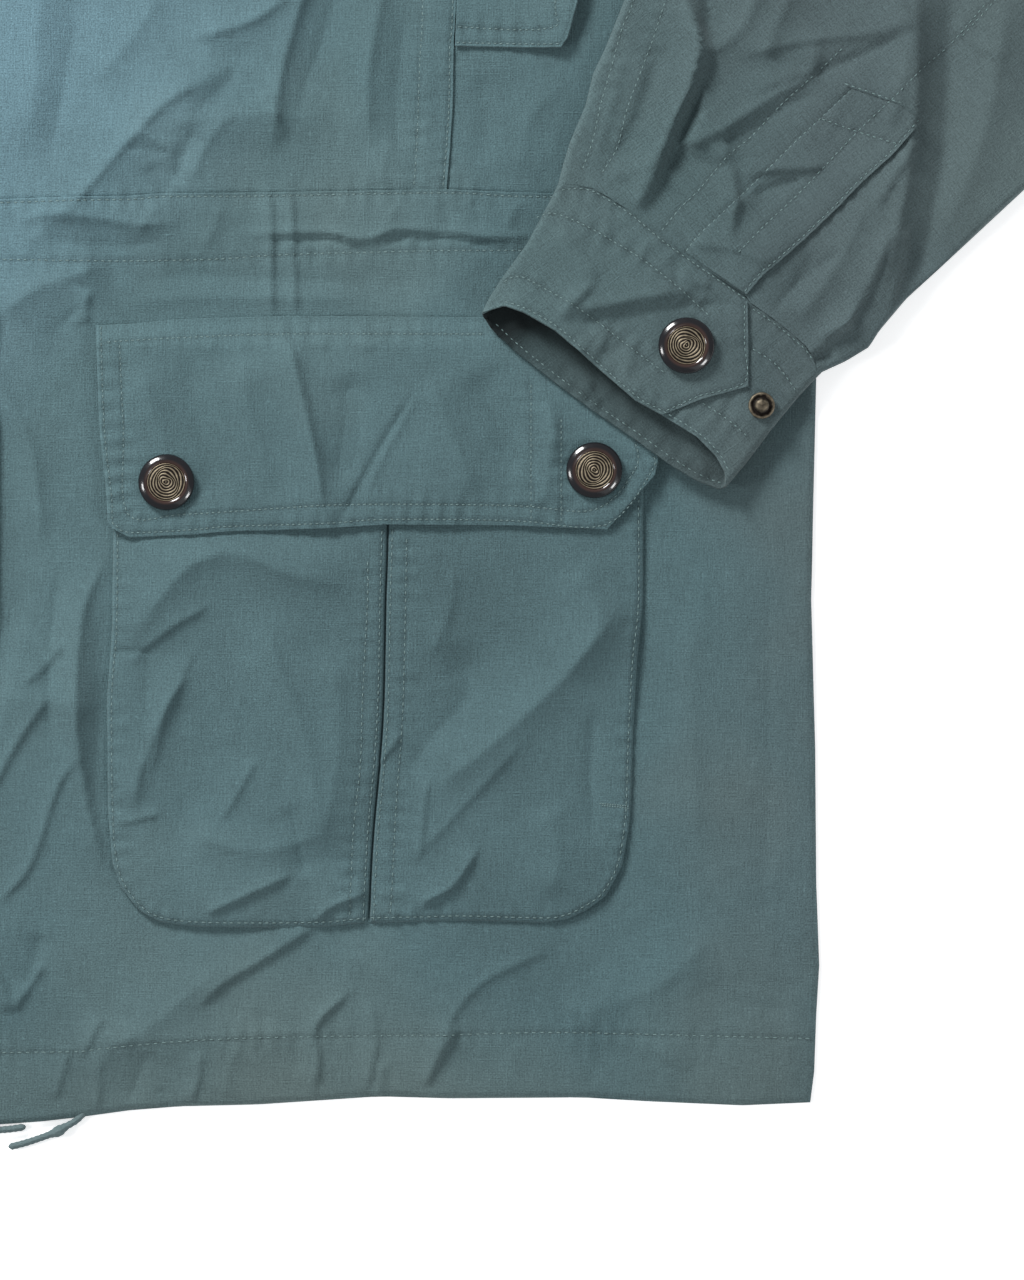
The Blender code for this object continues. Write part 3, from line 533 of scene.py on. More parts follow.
SKIRT_FOLDS = folds(
    (5, 27, 22, (-10,690), (30,700), (70,704), (104,706)),
    (2.6, 15, 12, (70,1030), (150,1040), (240,1036), (330,1030)),
    (3.2, 6, 10, (-30,330), (0,385), (29,440), (39,496), (44,560)),
    (-3.5, 7, 6, (-8,400), (0,440), (6,512), (5,577), (10,653)),
    (3.4, 9, 10, (112,262), (74,278), (36,290), (-4,320)),
    (2.2, 1.5, 6, (92,290), (86,308), (89,326)),
    (-1.9, 5, 5, (90,300), (60,330), (50,370), (54,420)),
    (3.6, 3.4, 11, (112,540), (101,571), (85,610), (78,682), (80,747), (98,845), (120,900)),
    (-2.2, 6, 5, (62,560), (52,640), (50,700), (56,760)),
    (2, 1.5, 5, (58,688), (42,708), (20,740), (0,776), (-16,800)),
    (2, 1.5, 5, (84,745), (72,765), (56,793), (33,861), (7,894), (-10,910)),
    (1.8, 1.6, 5, (66,640), (44,668), (22,686)),
    (2.6, 1.8, 12, (330,918), (310,929), (258,962), (224,982), (201,1003), (190,1014)),
    (2.4, 9, 10, (240,955), (212,975), (149,1026), (86,1061), (60,1076)),
    (1.8, 2.4, 8, (560,945), (523,961), (483,981), (456,1011), (440,1045), (423,1081)),
    (2.4, 1.2, 4.5, (356,984), (342,998), (318,1022), (316,1040), (318,1061), (312,1100)),
    (1.9, 1.2, 4, (366,995), (373,1015), (377,1035), (369,1078), (362,1098)),
    (1.6, 1, 2.6, (386,1060), (383,1072), (382,1085), (379,1100)),
    (2.4, 1.5, 5, (460,1022), (450,1038), (436,1062), (422,1090)),
    (1.9, 1.2, 4, (203,1048), (201,1061), (199,1078), (190,1106)),
    (-1.4, 1.2, 1.2, (158,1086), (162,1093), (171,1108)),
    (1.6, 1.2, 4, (102,1056), (100,1069), (99,1101), (99,1112)),
    (1.6, 1.2, 4, (104,1014), (98,1026), (86,1049), (80,1062)),
    (1.6, 1.2, 4, (74,1042), (69,1055), (59,1087), (55,1102)),
    (2.3, 1.6, 4, (-6,962), (0,977), (8,1000), (12,1014)),
    (2.3, 1.6, 4, (46,958), (37,975), (20,1000), (12,1014)),
    (-2.1, 5, 5, (40,930), (36,960), (24,990)),
    (1.6, 8, 12, (330,950), (360,960), (420,1000), (470,1060)),
    (-1.4, 6, 6, (250,1010), (290,1030), (300,1080)),
    (1.4, 6, 8, (240,1040), (230,1070), (226,1100)),
    (-1.4, 5, 5, (150,1048), (140,1075), (130,1104)),
    (0.8, 4, 6, (520,1040), (512,1066), (508,1092)),
    (-0.6, 4, 5, (600,1040), (596,1066), (590,1090)),
    (1.9, 12, 14, (705,560), (690,700), (700,860)),
    (-1.6, 14, 14, (765,560), (770,760), (760,980)),
    (1.8, 8, 12, (720,930), (650,990), (560,1015)),
    (1.6, 12, 12, (560,1000), (620,1040), (700,1060)),
    (-1.6, 9, 9, (700,970), (730,1000), (800,1010)),
    (-1.9, 8, 7, (130,285), (200,276), (320,282), (450,280)),
    (1.6, 6, 8, (110,310), (160,300), (240,298), (380,300)),
)
print("folds:", len(CHEST_FOLDS) + len(WAIST_FOLDS) + len(SKIRT_FOLDS), "on the body")

# %% [markdown]
# ## Heights of the body
#
# The two fronts lie on the back, so their height is the solid's top with the folds on it. At the side
# seam and the hem the cloth turns down and under, which a quarter circle gives. Along a line of
# stitches the cloth is drawn in: a shallow groove, with short puckers on both sides of it.

# %% Body height
EDGE_ROUND = 3.0
GROOVE_DEPTH = 0.32
ABOVE_WAIST = (-72.0, -66.0)
GROOVE_WIDTH = 0.9
PUCKER_HEIGHT = 0.42
PUCKER_PITCH = 7.5
PUCKER_REACH = 5.5
LEAST_RISE, REST_SOFTNESS = 0.2, 0.2


def line_of(points):
    return smooth(points, 5)


HEM_STITCHES = [(1.0, -411.2)] + seen((0,1052), (72,1051), (100,1048), (138,1044), (187,1040), (260,1037),
                                        (450,1034), (566,1032), (698,1035), (811,1038))
CASING_STITCHES = ([(1.0, -94.6)] + seen((0,260), (98,262), (209,260), (271,256), (359,253), (512,251))
                   + [(345.0, -93.0)])
WAIST_STITCHES = [(x, y - 1.5) for x, y in WAIST]
PRINCESS_EDGE_STITCHES = seen((443,188), (446,153), (449,107), (450,46), (453,0)) + [(203.4, 120.0), (194.4, 240.0),
                                                                                     (178.4, 344.0)]
PRINCESS_FAR_STITCHES = seen((414,187), (417,145), (420,61), (423,0)) + [(191.4, 120.0), (182.4, 240.0), (166.6, 348.0)]


def stitched(x, y, points, depth=GROOVE_DEPTH, seed=0):
    """The groove and puckers along a line of stitches."""
    distance, _, share = nearest(x, y, line_of(points))
    along = share * curve(points).length
    pucker = np.sin(along * 2 * math.pi / PUCKER_PITCH + seed + 1.6 * np.sin(along / 19.0 + seed))
    pucker *= 0.5 + 0.5 * np.sin(along / 23.0 + 2.0 * seed) * np.sin(along / 11.0 + seed)
    groove = -depth * bell(distance, GROOVE_WIDTH)
    return groove + PUCKER_HEIGHT * pucker * bell(distance, PUCKER_REACH)


def stitched_rows(x, y, rows, depth=GROOVE_DEPTH, seed=0):
    """The grooves and puckers along several lines of stitches."""
    return sum(stitched(x, y, row, depth, seed + number) for number, row in enumerate(rows))


def rounded_edge(distance, radius):
    """How far a surface has turned down at this distance inside its edge: a quarter circle."""
    inside = np.clip(1 - distance / radius, 0.0, 1.0)
    return radius * (np.sqrt(np.maximum(0.0, 1 - inside ** 2)) - 1)


def kept_above(low, height):
    """The height, held softly above a level: cloth that dips rests on what lies under it."""
    spare = height - low
    return low + 0.5 * (spare + np.sqrt(spare ** 2 + REST_SOFTNESS))


def body_height(x, y):
    height = FRONT_TOP + creases(CHEST_FOLDS, x, y) + creases(WAIST_FOLDS, x, y) + creases(SKIRT_FOLDS, x, y)
    height = height + waves(x, y, 3, 95.0, 0.7) + waves(x, y, 4, 40.0, 0.18)
    height = height + stitched_rows(x, y, (HEM_STITCHES, CASING_STITCHES, WAIST_STITCHES))
    height = height + (stitched_rows(x, y, (PRINCESS_EDGE_STITCHES, PRINCESS_FAR_STITCHES), seed=5)
                       * smoothstep(*ABOVE_WAIST, y))
    distance = away(x, y, line_of(HEM).tolist() + line_of(SIDE_SEAM).tolist()[1:])
    return kept_above(BACK_TOP + LEAST_RISE, height + rounded_edge(distance, EDGE_ROUND) * 0.9)


print("body at the pocket:", round(float(body_height(np.array([150.0]), np.array([-250.0]))[0]), 2), "mm")

# %% [markdown]
# ## From a panel to a mesh
#
# `cloth` makes a grid with `create_grid`, puts its points in place with the panel's plan and height,
# and turns its border down as a hem does. The cut cloth's own measure goes into a UV map, so the
# threads run with the panel, and `rubbed` marks the edges that wear pale.

# %% Cloth maker
COARSE = 3.8
RUB_WIDTH = 1.4
STITCH_SHADE_WIDTH = 0.9
LEAST_SHARE = 0.31


def even(length, cell, margins=()):
    """Shares of a length in cells of about this size, with extra lines near each end."""
    count = max(2, round(length / cell))
    shares = set(np.round(np.linspace(0.0, 1.0, count + 1), 6))
    for margin in margins:
        shares |= {round(margin / length, 6), round(1 - margin / length, 6)}
    return np.array(sorted(shares))


def grid_of(size, cell, margins):
    """Columns and rows for a panel about so wide and long."""
    return [even(length, cell, margins) for length in size]


def as_mesh(shape, name):
    """The mesh of a finished bmesh, which is freed."""
    mesh = bpy.data.meshes.new(name)
    shape.to_mesh(mesh)
    shape.free()
    return mesh


def places_of(mesh):
    """The mesh's points, a row for each."""
    spots = np.empty(len(mesh.vertices) * 3)
    mesh.vertices.foreach_get("co", spots)
    return spots.reshape(-1, 3)


def set_cut(mesh, cut):
    """Write each point's place on the cut cloth into the mesh's UV map."""
    corner = np.empty(len(mesh.loops), int)
    mesh.loops.foreach_get("vertex_index", corner)
    mesh.uv_layers.new(name="cut").data.foreach_set("uv", (cut[corner] * MM).ravel())


def fill_mesh(name, columns, rows, place):
    """A grid mesh with its points where place(u, v) puts them, in millimetres, and its UV map."""
    shape = bmesh.new()
    bmesh.ops.create_grid(shape, x_segments=len(columns) - 1, y_segments=len(rows) - 1, size=0.5)
    mesh = as_mesh(shape, name)
    spots = places_of(mesh)
    u = columns[np.rint((spots[:, 0] + 0.5) * (len(columns) - 1)).astype(int)]
    v = rows[np.rint((spots[:, 1] + 0.5) * (len(rows) - 1)).astype(int)]
    points, cut, marks = place(u, v)
    mesh.vertices.foreach_set("co", (points * MM).ravel())
    set_cut(mesh, cut)
    for name, value in marks.items():
        mesh.attributes.new(name, "FLOAT", "POINT").data.foreach_set("value", value)
    return mesh


def marked(x, y, edge_lines, sewn_lines):
    """Where a piece is rubbed pale, along its edges, and where painted shade darkens the grooves of its stitches."""
    marks = {}
    for name, lines, width in (("rubbed", edge_lines, RUB_WIDTH), ("sewn", sewn_lines, STITCH_SHADE_WIDTH)):
        marks[name] = np.zeros(len(x))
        for line in lines:
            marks[name] = np.maximum(marks[name], bell(away(x, y, smooth(line, 4)), width))
    return marks


def add_piece(name, mesh, material, nodes):
    """Put a finished mesh in the scene: it rides on the jacket and stands for its solids."""
    mesh.materials.append(material)
    mesh.shade_smooth()
    piece = bpy.data.objects.new(name, mesh)
    bpy.context.collection.objects.link(piece)
    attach(piece, "root")
    if nodes:
        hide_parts(*nodes)
    return piece


def turn_down(mesh, depth, flip=False):
    """Extrude the mesh's border straight down, and face a mirrored mesh up again."""
    shape = bmesh.new()
    shape.from_mesh(mesh)
    border = [edge for edge in shape.edges if edge.is_boundary]
    skirt = bmesh.ops.extrude_edge_only(shape, edges=border)
    for item in skirt["geom"]:
        if isinstance(item, bmesh.types.BMVert):
            item.co.z -= depth * MM
    if flip:
        bmesh.ops.reverse_faces(shape, faces=shape.faces)
    shape.to_mesh(mesh)
    shape.free()


def merge_seam(mesh):
    """Close a mesh that goes once round, where its first and last points meet, and face it outward."""
    shape = bmesh.new()
    shape.from_mesh(mesh)
    bmesh.ops.remove_doubles(shape, verts=shape.verts, dist=1e-6)
    bmesh.ops.recalc_face_normals(shape, faces=shape.faces)
    shape.to_mesh(mesh)
    shape.free()


def thicken(piece, wall):
    """Give an open surface the thickness of its cloth, inward."""
    thickness = piece.modifiers.new("thickness", "SOLIDIFY")
    thickness.thickness = wall * MM
    thickness.offset = -1.0


def area_of(mesh):
    return sum(face.area for face in mesh.polygons)


def cloth(name, side, columns, rows, plan, height, nodes, edge_lines=(), sewn_lines=(), depth=0.6,
          wall=0.0, material=None, slot="body_cloth", rests=("back",), turned=False):
    """A sheet of cloth in place of its solids."""
    def place(u, v):
        spots = plan(u, v)
        x, y = spots[:, 0], spots[:, 1]
        cut = cut_sleeve(spots) if turned else spots
        return np.stack([side * x, y, height(x, y)], -1), cut, marked(x, y, edge_lines, sewn_lines)

    mesh = fill_mesh(name, columns, rows, place)
    width = curve(plan(columns, np.full(len(columns), 0.5))).length
    length = curve(plan(np.full(len(rows), 0.5), rows)).length
    if not wall:
        turn_down(mesh, depth, side < 0)
    elif side < 0:
        mesh.flip_normals()
    piece = add_piece(name, mesh, material or body_cloth, nodes)
    if wall:
        thicken(piece, wall)
    return piece


def both(make, near_cell, far_cell):
    """Make a piece on the side that the photograph shows, and in wider cells on the other side."""
    make(1.0, "left", near_cell)
    make(-1.0, "right", far_cell)


# %% [markdown]
# ## The drawstring
#
# A thin braided cord runs in the hem and its two ends come out beside the front opening. They are
# cut off with nothing on them, and the left one has a small knot. Each is a tube on a smooth route,
# and crossing ridges on its skin stand for the braid.

# %% Drawstring
CORD_RADIUS = 1.5
BRAID_PITCH = 4.2
BRAID_STRANDS = 6
KNOT_THICK, KNOT_LONG = 0.6, 2.6
CORD_DARK, CORD_PALE = (0.075, 0.118, 0.125, 1.0), (0.135, 0.190, 0.195, 1.0)
cord_recipe = Recipe("cord")
cord_threads = cord_recipe.noise(2000.0, 700.0, 2.0)
cord_cloth = cord_recipe.finish(
    Base_Color=cord_recipe.blend(cord_threads, CORD_DARK, CORD_PALE),
    Roughness=0.85, Normal=cord_recipe.bump(cord_threads, 0.0003))


def drawstring(name, points, knot=-99.0):
    """A free end of the cord, from where it leaves the hem to its cut end."""
    route = smooth(points, 8)
    length = curve(route).length
    stations = np.linspace(0.0, 1.0, round(length / 0.5) + 1)
    middle = curve(route)(stations)
    ahead = np.gradient(middle, axis=0)
    ahead /= np.linalg.norm(ahead, axis=1)[:, None]
    across = np.stack([-ahead[:, 1], ahead[:, 0], np.zeros(len(ahead))], -1)
    across /= np.linalg.norm(across, axis=1)[:, None]
    upward = np.cross(across, ahead)

    def place(u, v):
        row = np.rint(v * (len(stations) - 1)).astype(int)
        angle, along = u * 2 * math.pi, v * length
        ends = np.sqrt(np.clip(np.minimum(along, length - along) / CORD_RADIUS, 0.0, 1.0))
        turn = along * 2 * math.pi / BRAID_PITCH
        braid = np.cos(BRAID_STRANDS / 2 * angle + turn) * np.cos(BRAID_STRANDS / 2 * angle - turn)
        thick = 0.92 + 0.12 * braid + KNOT_THICK * bell(along - knot, KNOT_LONG)
        radius = (CORD_RADIUS * thick * ends)[:, None]
        spots = middle[row] + radius * (np.sin(angle)[:, None] * across[row] + np.cos(angle)[:, None] * upward[row])
        return spots, np.stack([u * 9.4, along], -1), {}

    mesh = fill_mesh(name, np.linspace(0.0, 1.0, 25), stations, place)
    merge_seam(mesh)
    piece = add_piece(name, mesh, cord_cloth, [name])
    middle[0] * MM
    (middle * MM).tolist()
    print(name, "is", round(length, 1), "mm long")


LEFT_DRAWSTRING = [
    (54.4, -434.6, 1.5), (52.6, -436.6, 1.5), (50.4, -438.6, 1.6), (48.2, -439.9, 1.8), (46.2, -441.0, 2.2),
    (44.6, -442.0, 2.6), (43.4, -442.7, 2.6), (41.8, -443.4, 2.1), (40.2, -444.0, 1.6), (37.8, -444.9, 1.6),
    (35.2, -445.8, 1.6), (32.6, -446.7, 1.6), (30.0, -447.5, 1.6), (27.4, -448.2, 1.6), (25.2, -448.7, 1.6),
    (23.4, -449.0, 1.6)]
RIGHT_DRAWSTRING = [
    (-51.0, -439.6, 1.8), (-47.0, -440.7, 1.6), (-42.0, -441.8, 1.6), (-36.0, -442.7, 1.6),
    (-30.0, -443.2, 1.6), (-24.0, -443.4, 1.6), (-18.0, -443.3, 1.6), (-12.0, -443.0, 1.6),
    (-6.0, -442.7, 1.6), (0.0, -442.5, 1.6), (6.0, -442.4, 1.6), (12.0, -442.4, 1.6), (18.0, -442.3, 1.6),
    (23.0, -442.0, 1.6), (27.0, -441.5, 1.6), (30.6, -440.9, 1.6)]
drawstring("left_drawstring", LEFT_DRAWSTRING, 13.5)
drawstring("right_drawstring", RIGHT_DRAWSTRING)

# %% [markdown]
# ## The floor
#
# A plain pale floor, close to white, so that the jacket's edge reads as cleanly as on the photograph.

# %% Floor
FLOOR_DARK, FLOOR_PALE = (0.90, 0.90, 0.90, 1.0), (0.93, 0.93, 0.93, 1.0)
floor_recipe = Recipe("floor")
floor_speck = floor_recipe.value("ShaderNodeTexNoise", "Fac", Scale=3.0)
floor_white = floor_recipe.finish(
    Base_Color=floor_recipe.blend(floor_speck, FLOOR_DARK, FLOOR_PALE), Roughness=0.9,
    Emission_Color=(1.0, 1.0, 1.0, 1.0), Emission_Strength=0.5)
shape = bmesh.new()
bmesh.ops.create_grid(shape, x_segments=2, y_segments=2, size=3.0)
floor_mesh = as_mesh(shape, "floor")
floor_mesh.materials.append(floor_white)
floor = bpy.data.objects.new("floor", floor_mesh)
bpy.context.collection.objects.link(floor)
print("floor:", tuple(floor.dimensions))

# %% [markdown]
# ## The body panels
#
# The back lies flat and everything else lies on it. Each front has three parts here. The lower part
# runs from the waist to the hem, and the drawstring channel at its top is one cloth with it, as its
# seam lines show. Above the waist a front panel laps over a side panel along a felled seam.

# %% Body panels
NEAR_EDGE = (0.4, 1.1, 2.0, 3.0)
CHANNEL_RISE = (-82.0, -74.0)
LAP_LIFT, UNDER_LAP_DIP, TUCK = 0.55, 0.35, 0.9
LAP_EDGE = (10.0, 15.0)
SEEN_TO = 0.27
WAIST_LAP = 3.0


def tucked(x, y):
    """How far the upper panels dip where the channel laps over them."""
    edge = np.interp(x, [knot[0] for knot in WAIST], [knot[1] for knot in WAIST])
    return TUCK * smoothstep(-0.6, 1.4, edge - y)


def lapped(x, y):
    """The front's height with its lap over the side panel: a raised band as wide as the seam."""
    distance = away(x, y, line_of(PRINCESS_SEAM))
    return body_height(x, y) + LAP_LIFT * (1 - smoothstep(*LAP_EDGE, distance)) - tucked(x, y)


def under_lap(x, y):
    """The side panel's height where the front panel laps over it."""
    distance = away(x, y, line_of(PRINCESS_SEAM))
    return body_height(x, y) - UNDER_LAP_DIP * (1 - smoothstep(1.0, 8.0, distance)) - tucked(x, y)


def crowded(cell, far_cell, length, shown):
    """Shares of a length: close rows where the photograph shows the cloth, and wider ones beyond."""
    near = np.arange(0.0, shown, cell / length)
    return np.concatenate([near, np.linspace(shown, 1.0, max(3, round((1 - shown) * length / far_cell)))])


def lower_height(x, y):
    """The lower front: its channel laps over the upper panels, so its top edge lies on them."""
    return body_height(x, y) + LAP_LIFT * smoothstep(*CHANNEL_RISE, y)


def body_panels(side, prefix, cell):
    plan = patch(HEM, SIDE_SEAM, WAIST, [HEM[0], WAIST[0]])
    cloth(prefix + "_lower_front", side, *grid_of((346.0, 368.0), cell, NEAR_EDGE), plan,
          lower_height, [prefix + "_waist_casing", prefix + "_skirt"], [HEM, SIDE_SEAM, WAIST],
          [HEM_STITCHES, CASING_STITCHES, WAIST_STITCHES], depth=0.7)
    split = (PRINCESS_SEAM[0][0], PRINCESS_SEAM[0][1] - WAIST_LAP)
    front_waist = [(x, y - WAIST_LAP) for x, y in WAIST if x < split[0] - 1] + [split]
    side_waist = [split] + [(x, y - WAIST_LAP) for x, y in WAIST if x > split[0] + 1]
    plan = patch(front_waist, [split] + PRINCESS_SEAM, FRONT_NECKLINE + [PRINCESS_SEAM[-1]],
                 [front_waist[0], (0.0, 300.0)])
    cloth(prefix + "_front_upper", side, even(200.0, cell, NEAR_EDGE), crowded(cell, 4.0, 405.0, SEEN_TO), plan,
          lapped, [prefix + "_front_upper"], [PRINCESS_SEAM],
          [PRINCESS_EDGE_STITCHES, PRINCESS_FAR_STITCHES], depth=0.7)
    inner = [(x - 2.5, y) for x, y in [split] + PRINCESS_SEAM]
    plan = patch([inner[0]] + side_waist[1:], [side_waist[-1]] + ARMHOLE, [inner[-1], ARMHOLE[-1]], inner)
    cloth(prefix + "_side_upper", side, even(146.0, cell, NEAR_EDGE), crowded(cell, 4.0, 400.0, SEEN_TO), plan,
          under_lap, [prefix + "_side_upper"], [ARMHOLE], depth=0.7)


def back_height(x, y):
    return BACK_TOP + waves(x, y, 21, 120.0, 0.1)


def mirrored(points):
    """A line as it lies on the other half."""
    return [(-x, y) for x, y in points]


back_side = [(x - 0.8, y) for x, y in SIDE_SEAM + ARMHOLE[1:]]
back_top = mirrored(([(0.0, 364.0)] + BACK_NECKLINE[1:] + [ARMHOLE[-1]]))[::-1] + BACK_NECKLINE[1:] + [ARMHOLE[-1]]
back_plan = patch(mirrored(HEM)[::-1] + HEM[1:], back_side, back_top, mirrored(back_side))
cloth("back", 1.0, *grid_of((690.0, 760.0), 8.0, NEAR_EDGE), back_plan, back_height, ["back"],
      depth=1.4, rests=("floor",))
both(body_panels, 1.35, COARSE)

# %% [markdown]
# ## The pocket
#
# A big patch pocket with a centre pleat that is pressed shut, so the two edges of the pleat meet in
# a slit. The face stands off the front by the folds of its gusset and turns down to it all round.

# %% Pocket
POCKET_LEFT = seen((140,921), (122,887), (113,861), (109,812), (108,698), (113,627), (114,535), (116,470), (116,350))
POCKET_BOTTOM_LEFT = seen((140,910), (160,921), (196,926), (271,927), (327,926), (369,922))
POCKET_BOTTOM_RIGHT = seen((369,922), (424,921), (466,920), (543,922), (566,919), (586,910))
POCKET_RIGHT = seen((586,910), (606,895), (622,865), (629,825), (631,796), (633,733), (637,660), (643,600), (643,495),
                    (643,350))
PLEAT = seen((369,922), (371,878), (374,829), (380,763), (384,698), (386,600), (388,529), (388,350))
POCKET_LEFT[0] = POCKET_BOTTOM_LEFT[0]
POCKET_TOP = top_of("left_pocket")
POCKET_ROUND = 2.6
POCKET_RELIEF, POCKET_LEAST = 1.2, 0.6
POCKET_PRESS, POCKET_PRESS_REACH = 1.2, 11.0
SLIT_DEPTH, SLIT_WIDTH = 2.6, 0.5
SLIT_ROLL, SLIT_ROLL_WIDTH = 0.9, 2.6
POCKET_FOLDS = folds(
    (1.6, 2, 6, (216,600), (202,610), (170,629), (140,654), (128,668)),
    (-1.2, 1.4, 1.4, (112,653), (119,652), (142,652), (152,648)),
    (1.4, 2.2, 5, (196,645), (189,665), (175,695), (163,724), (150,782)),
    (1.3, 1.7, 5, (258,755), (251,770), (229,809), (220,824)),
    (1.2, 1.2, 3, (108,827), (118,824), (138,819), (166,811)),
    (2.1, 1.4, 5, (200,918), (209,912), (242,897), (281,879), (300,872)),
    (2, 1.3, 4, (312,922), (317,918), (333,905), (366,892), (374,890)),
    (2.5, 1.6, 5, (421,916), (423,907), (428,899), (451,887), (470,861), (480,842)),
    (1.2, 1.3, 3, (430,770), (428,783), (424,810), (421,842), (418,865)),
    (1.2, 1.2, 3, (402,730), (397,740), (384,757), (376,768)),
    (1.2, 2.4, 8, (530,730), (512,753), (467,802), (424,848), (408,862)),
    (4.8, 12, 16, (628,590), (611,619), (575,665), (539,702), (492,744), (447,779), (420,800)),
    (-2.9, 12, 12, (450,640), (470,690), (430,740), (400,790)),
    (3.4, 8, 14, (128,650), (156,606), (192,566), (236,552), (290,574), (366,590)),
    (2.8, 4, 10, (196,672), (176,692), (158,728), (140,776), (136,820)),
    (2.6, 8, 14, (262,600), (276,660), (300,720), (318,800), (330,860)),
    (2.6, 12, 16, (330,640), (340,740), (320,860)),
    (-1.9, 6, 6, (290,800), (300,840), (306,880)),
    (2.1, 8, 11, (570,560), (600,620), (560,680)),
    (-1.9, 8, 8, (150,620), (150,700), (140,780)),
    (2.1, 8, 9, (180,830), (260,850), (330,830)),
    (1.8, 7, 8, (540,800), (560,850), (545,900)),
    (-1.6, 6, 6, (596,700), (590,780), (596,850)),
    (1.1, 4, 6, (455,560), (450,610), (430,660)),
)
PLEAT_ROWS = [seen((368,560), (368,600), (363,698), (361,763), (354,829), (351,894), (350,916)),
              seen((407,538), (406,600), (403,714), (397,796), (392,894), (390,914))]
NEAR_PLEAT_ROWS = [[(x - 2.2, y) for x, y in PLEAT[:-1]], [(x + 1.9, y) for x, y in PLEAT[:-1]]]
POCKET_EDGE = POCKET_LEFT[::-1] + POCKET_BOTTOM_LEFT[1:] + POCKET_BOTTOM_RIGHT[1:] + POCKET_RIGHT[1:]


def inset(points, distance):
    """A line moved to its left by this distance."""
    knots = np.array(points, float)
    ahead = np.gradient(knots, axis=0)
    ahead /= np.linalg.norm(ahead, axis=1)[:, None]
    return knots + distance * np.stack([-ahead[:, 1], ahead[:, 0]], -1)


POCKET_STITCHES = inset(POCKET_EDGE, 1.9)


def pocket_height(x, y):
    open_part = 1 - 0.9 * smoothstep(-216.0, -200.0, y)
    relief = POCKET_RELIEF * creases(POCKET_FOLDS, x, y) + waves(x, y, 31, 70.0, 0.5) + waves(x, y, 32, 22.0, 0.08)
    height = POCKET_TOP - 0.5 + 0.5 * open_part + relief * open_part
    edge = away(x, y, line_of(POCKET_EDGE))
    height = height + rounded_edge(edge, POCKET_ROUND)
    height = height - POCKET_PRESS * bell(edge, POCKET_PRESS_REACH)
    height = height + stitched(x, y, POCKET_STITCHES, 0.35, 9)
    slit = away(x, y, line_of(PLEAT))
    height = height - SLIT_DEPTH * bell(slit, SLIT_WIDTH) - SLIT_ROLL * bell(slit, SLIT_ROLL_WIDTH)
    height = height + stitched_rows(x, y, PLEAT_ROWS, 0.25, 12)
    return kept_above(FRONT_TOP + POCKET_LEAST, height)


def beside(left_plan, right_plan):
    """Two plans side by side as one, which meet at u = 0.5."""
    def at(u, v):
        return np.where((u < 0.5)[:, None], left_plan(np.minimum(u * 2, 1), v), right_plan(np.maximum(u * 2 - 1, 0), v))

    return at


def pocket(side, prefix, cell):
    top_left, top_middle, top_right = POCKET_LEFT[-1], PLEAT[-1], POCKET_RIGHT[-1]
    left_plan = patch(POCKET_BOTTOM_LEFT, PLEAT, [top_left, top_middle], POCKET_LEFT)
    right_plan = patch(POCKET_BOTTOM_RIGHT, POCKET_RIGHT, [top_middle, top_right], PLEAT)
    close = (0.25, 0.7, 1.3, 2.0)
    half = even(105.0, cell, (0.4, 1.0, 1.6, 2.2, 2.8) + close)
    columns = np.unique(np.round(np.concatenate([half / 2, 0.5 + half / 2]), 6))
    rows = even(230.0, cell, (0.4, 1.0, 1.6, 2.2, 2.8))
    cloth(prefix + "_pocket", side, columns, rows, beside(left_plan, right_plan), pocket_height,
          [prefix + "_pocket"], [POCKET_EDGE, PLEAT], [POCKET_STITCHES] + PLEAT_ROWS + NEAR_PLEAT_ROWS,
          depth=3.2, rests=(prefix + "_lower_front",))


both(pocket, 1.2, 3.4)

# %% [markdown]
# ## The pocket's flap
#
# Two layers of cloth with a stitched border. Its top is sewn to the front, it rises over the pocket's
# gusset, and its free edge shows its thickness and drops a shadow on the pocket.

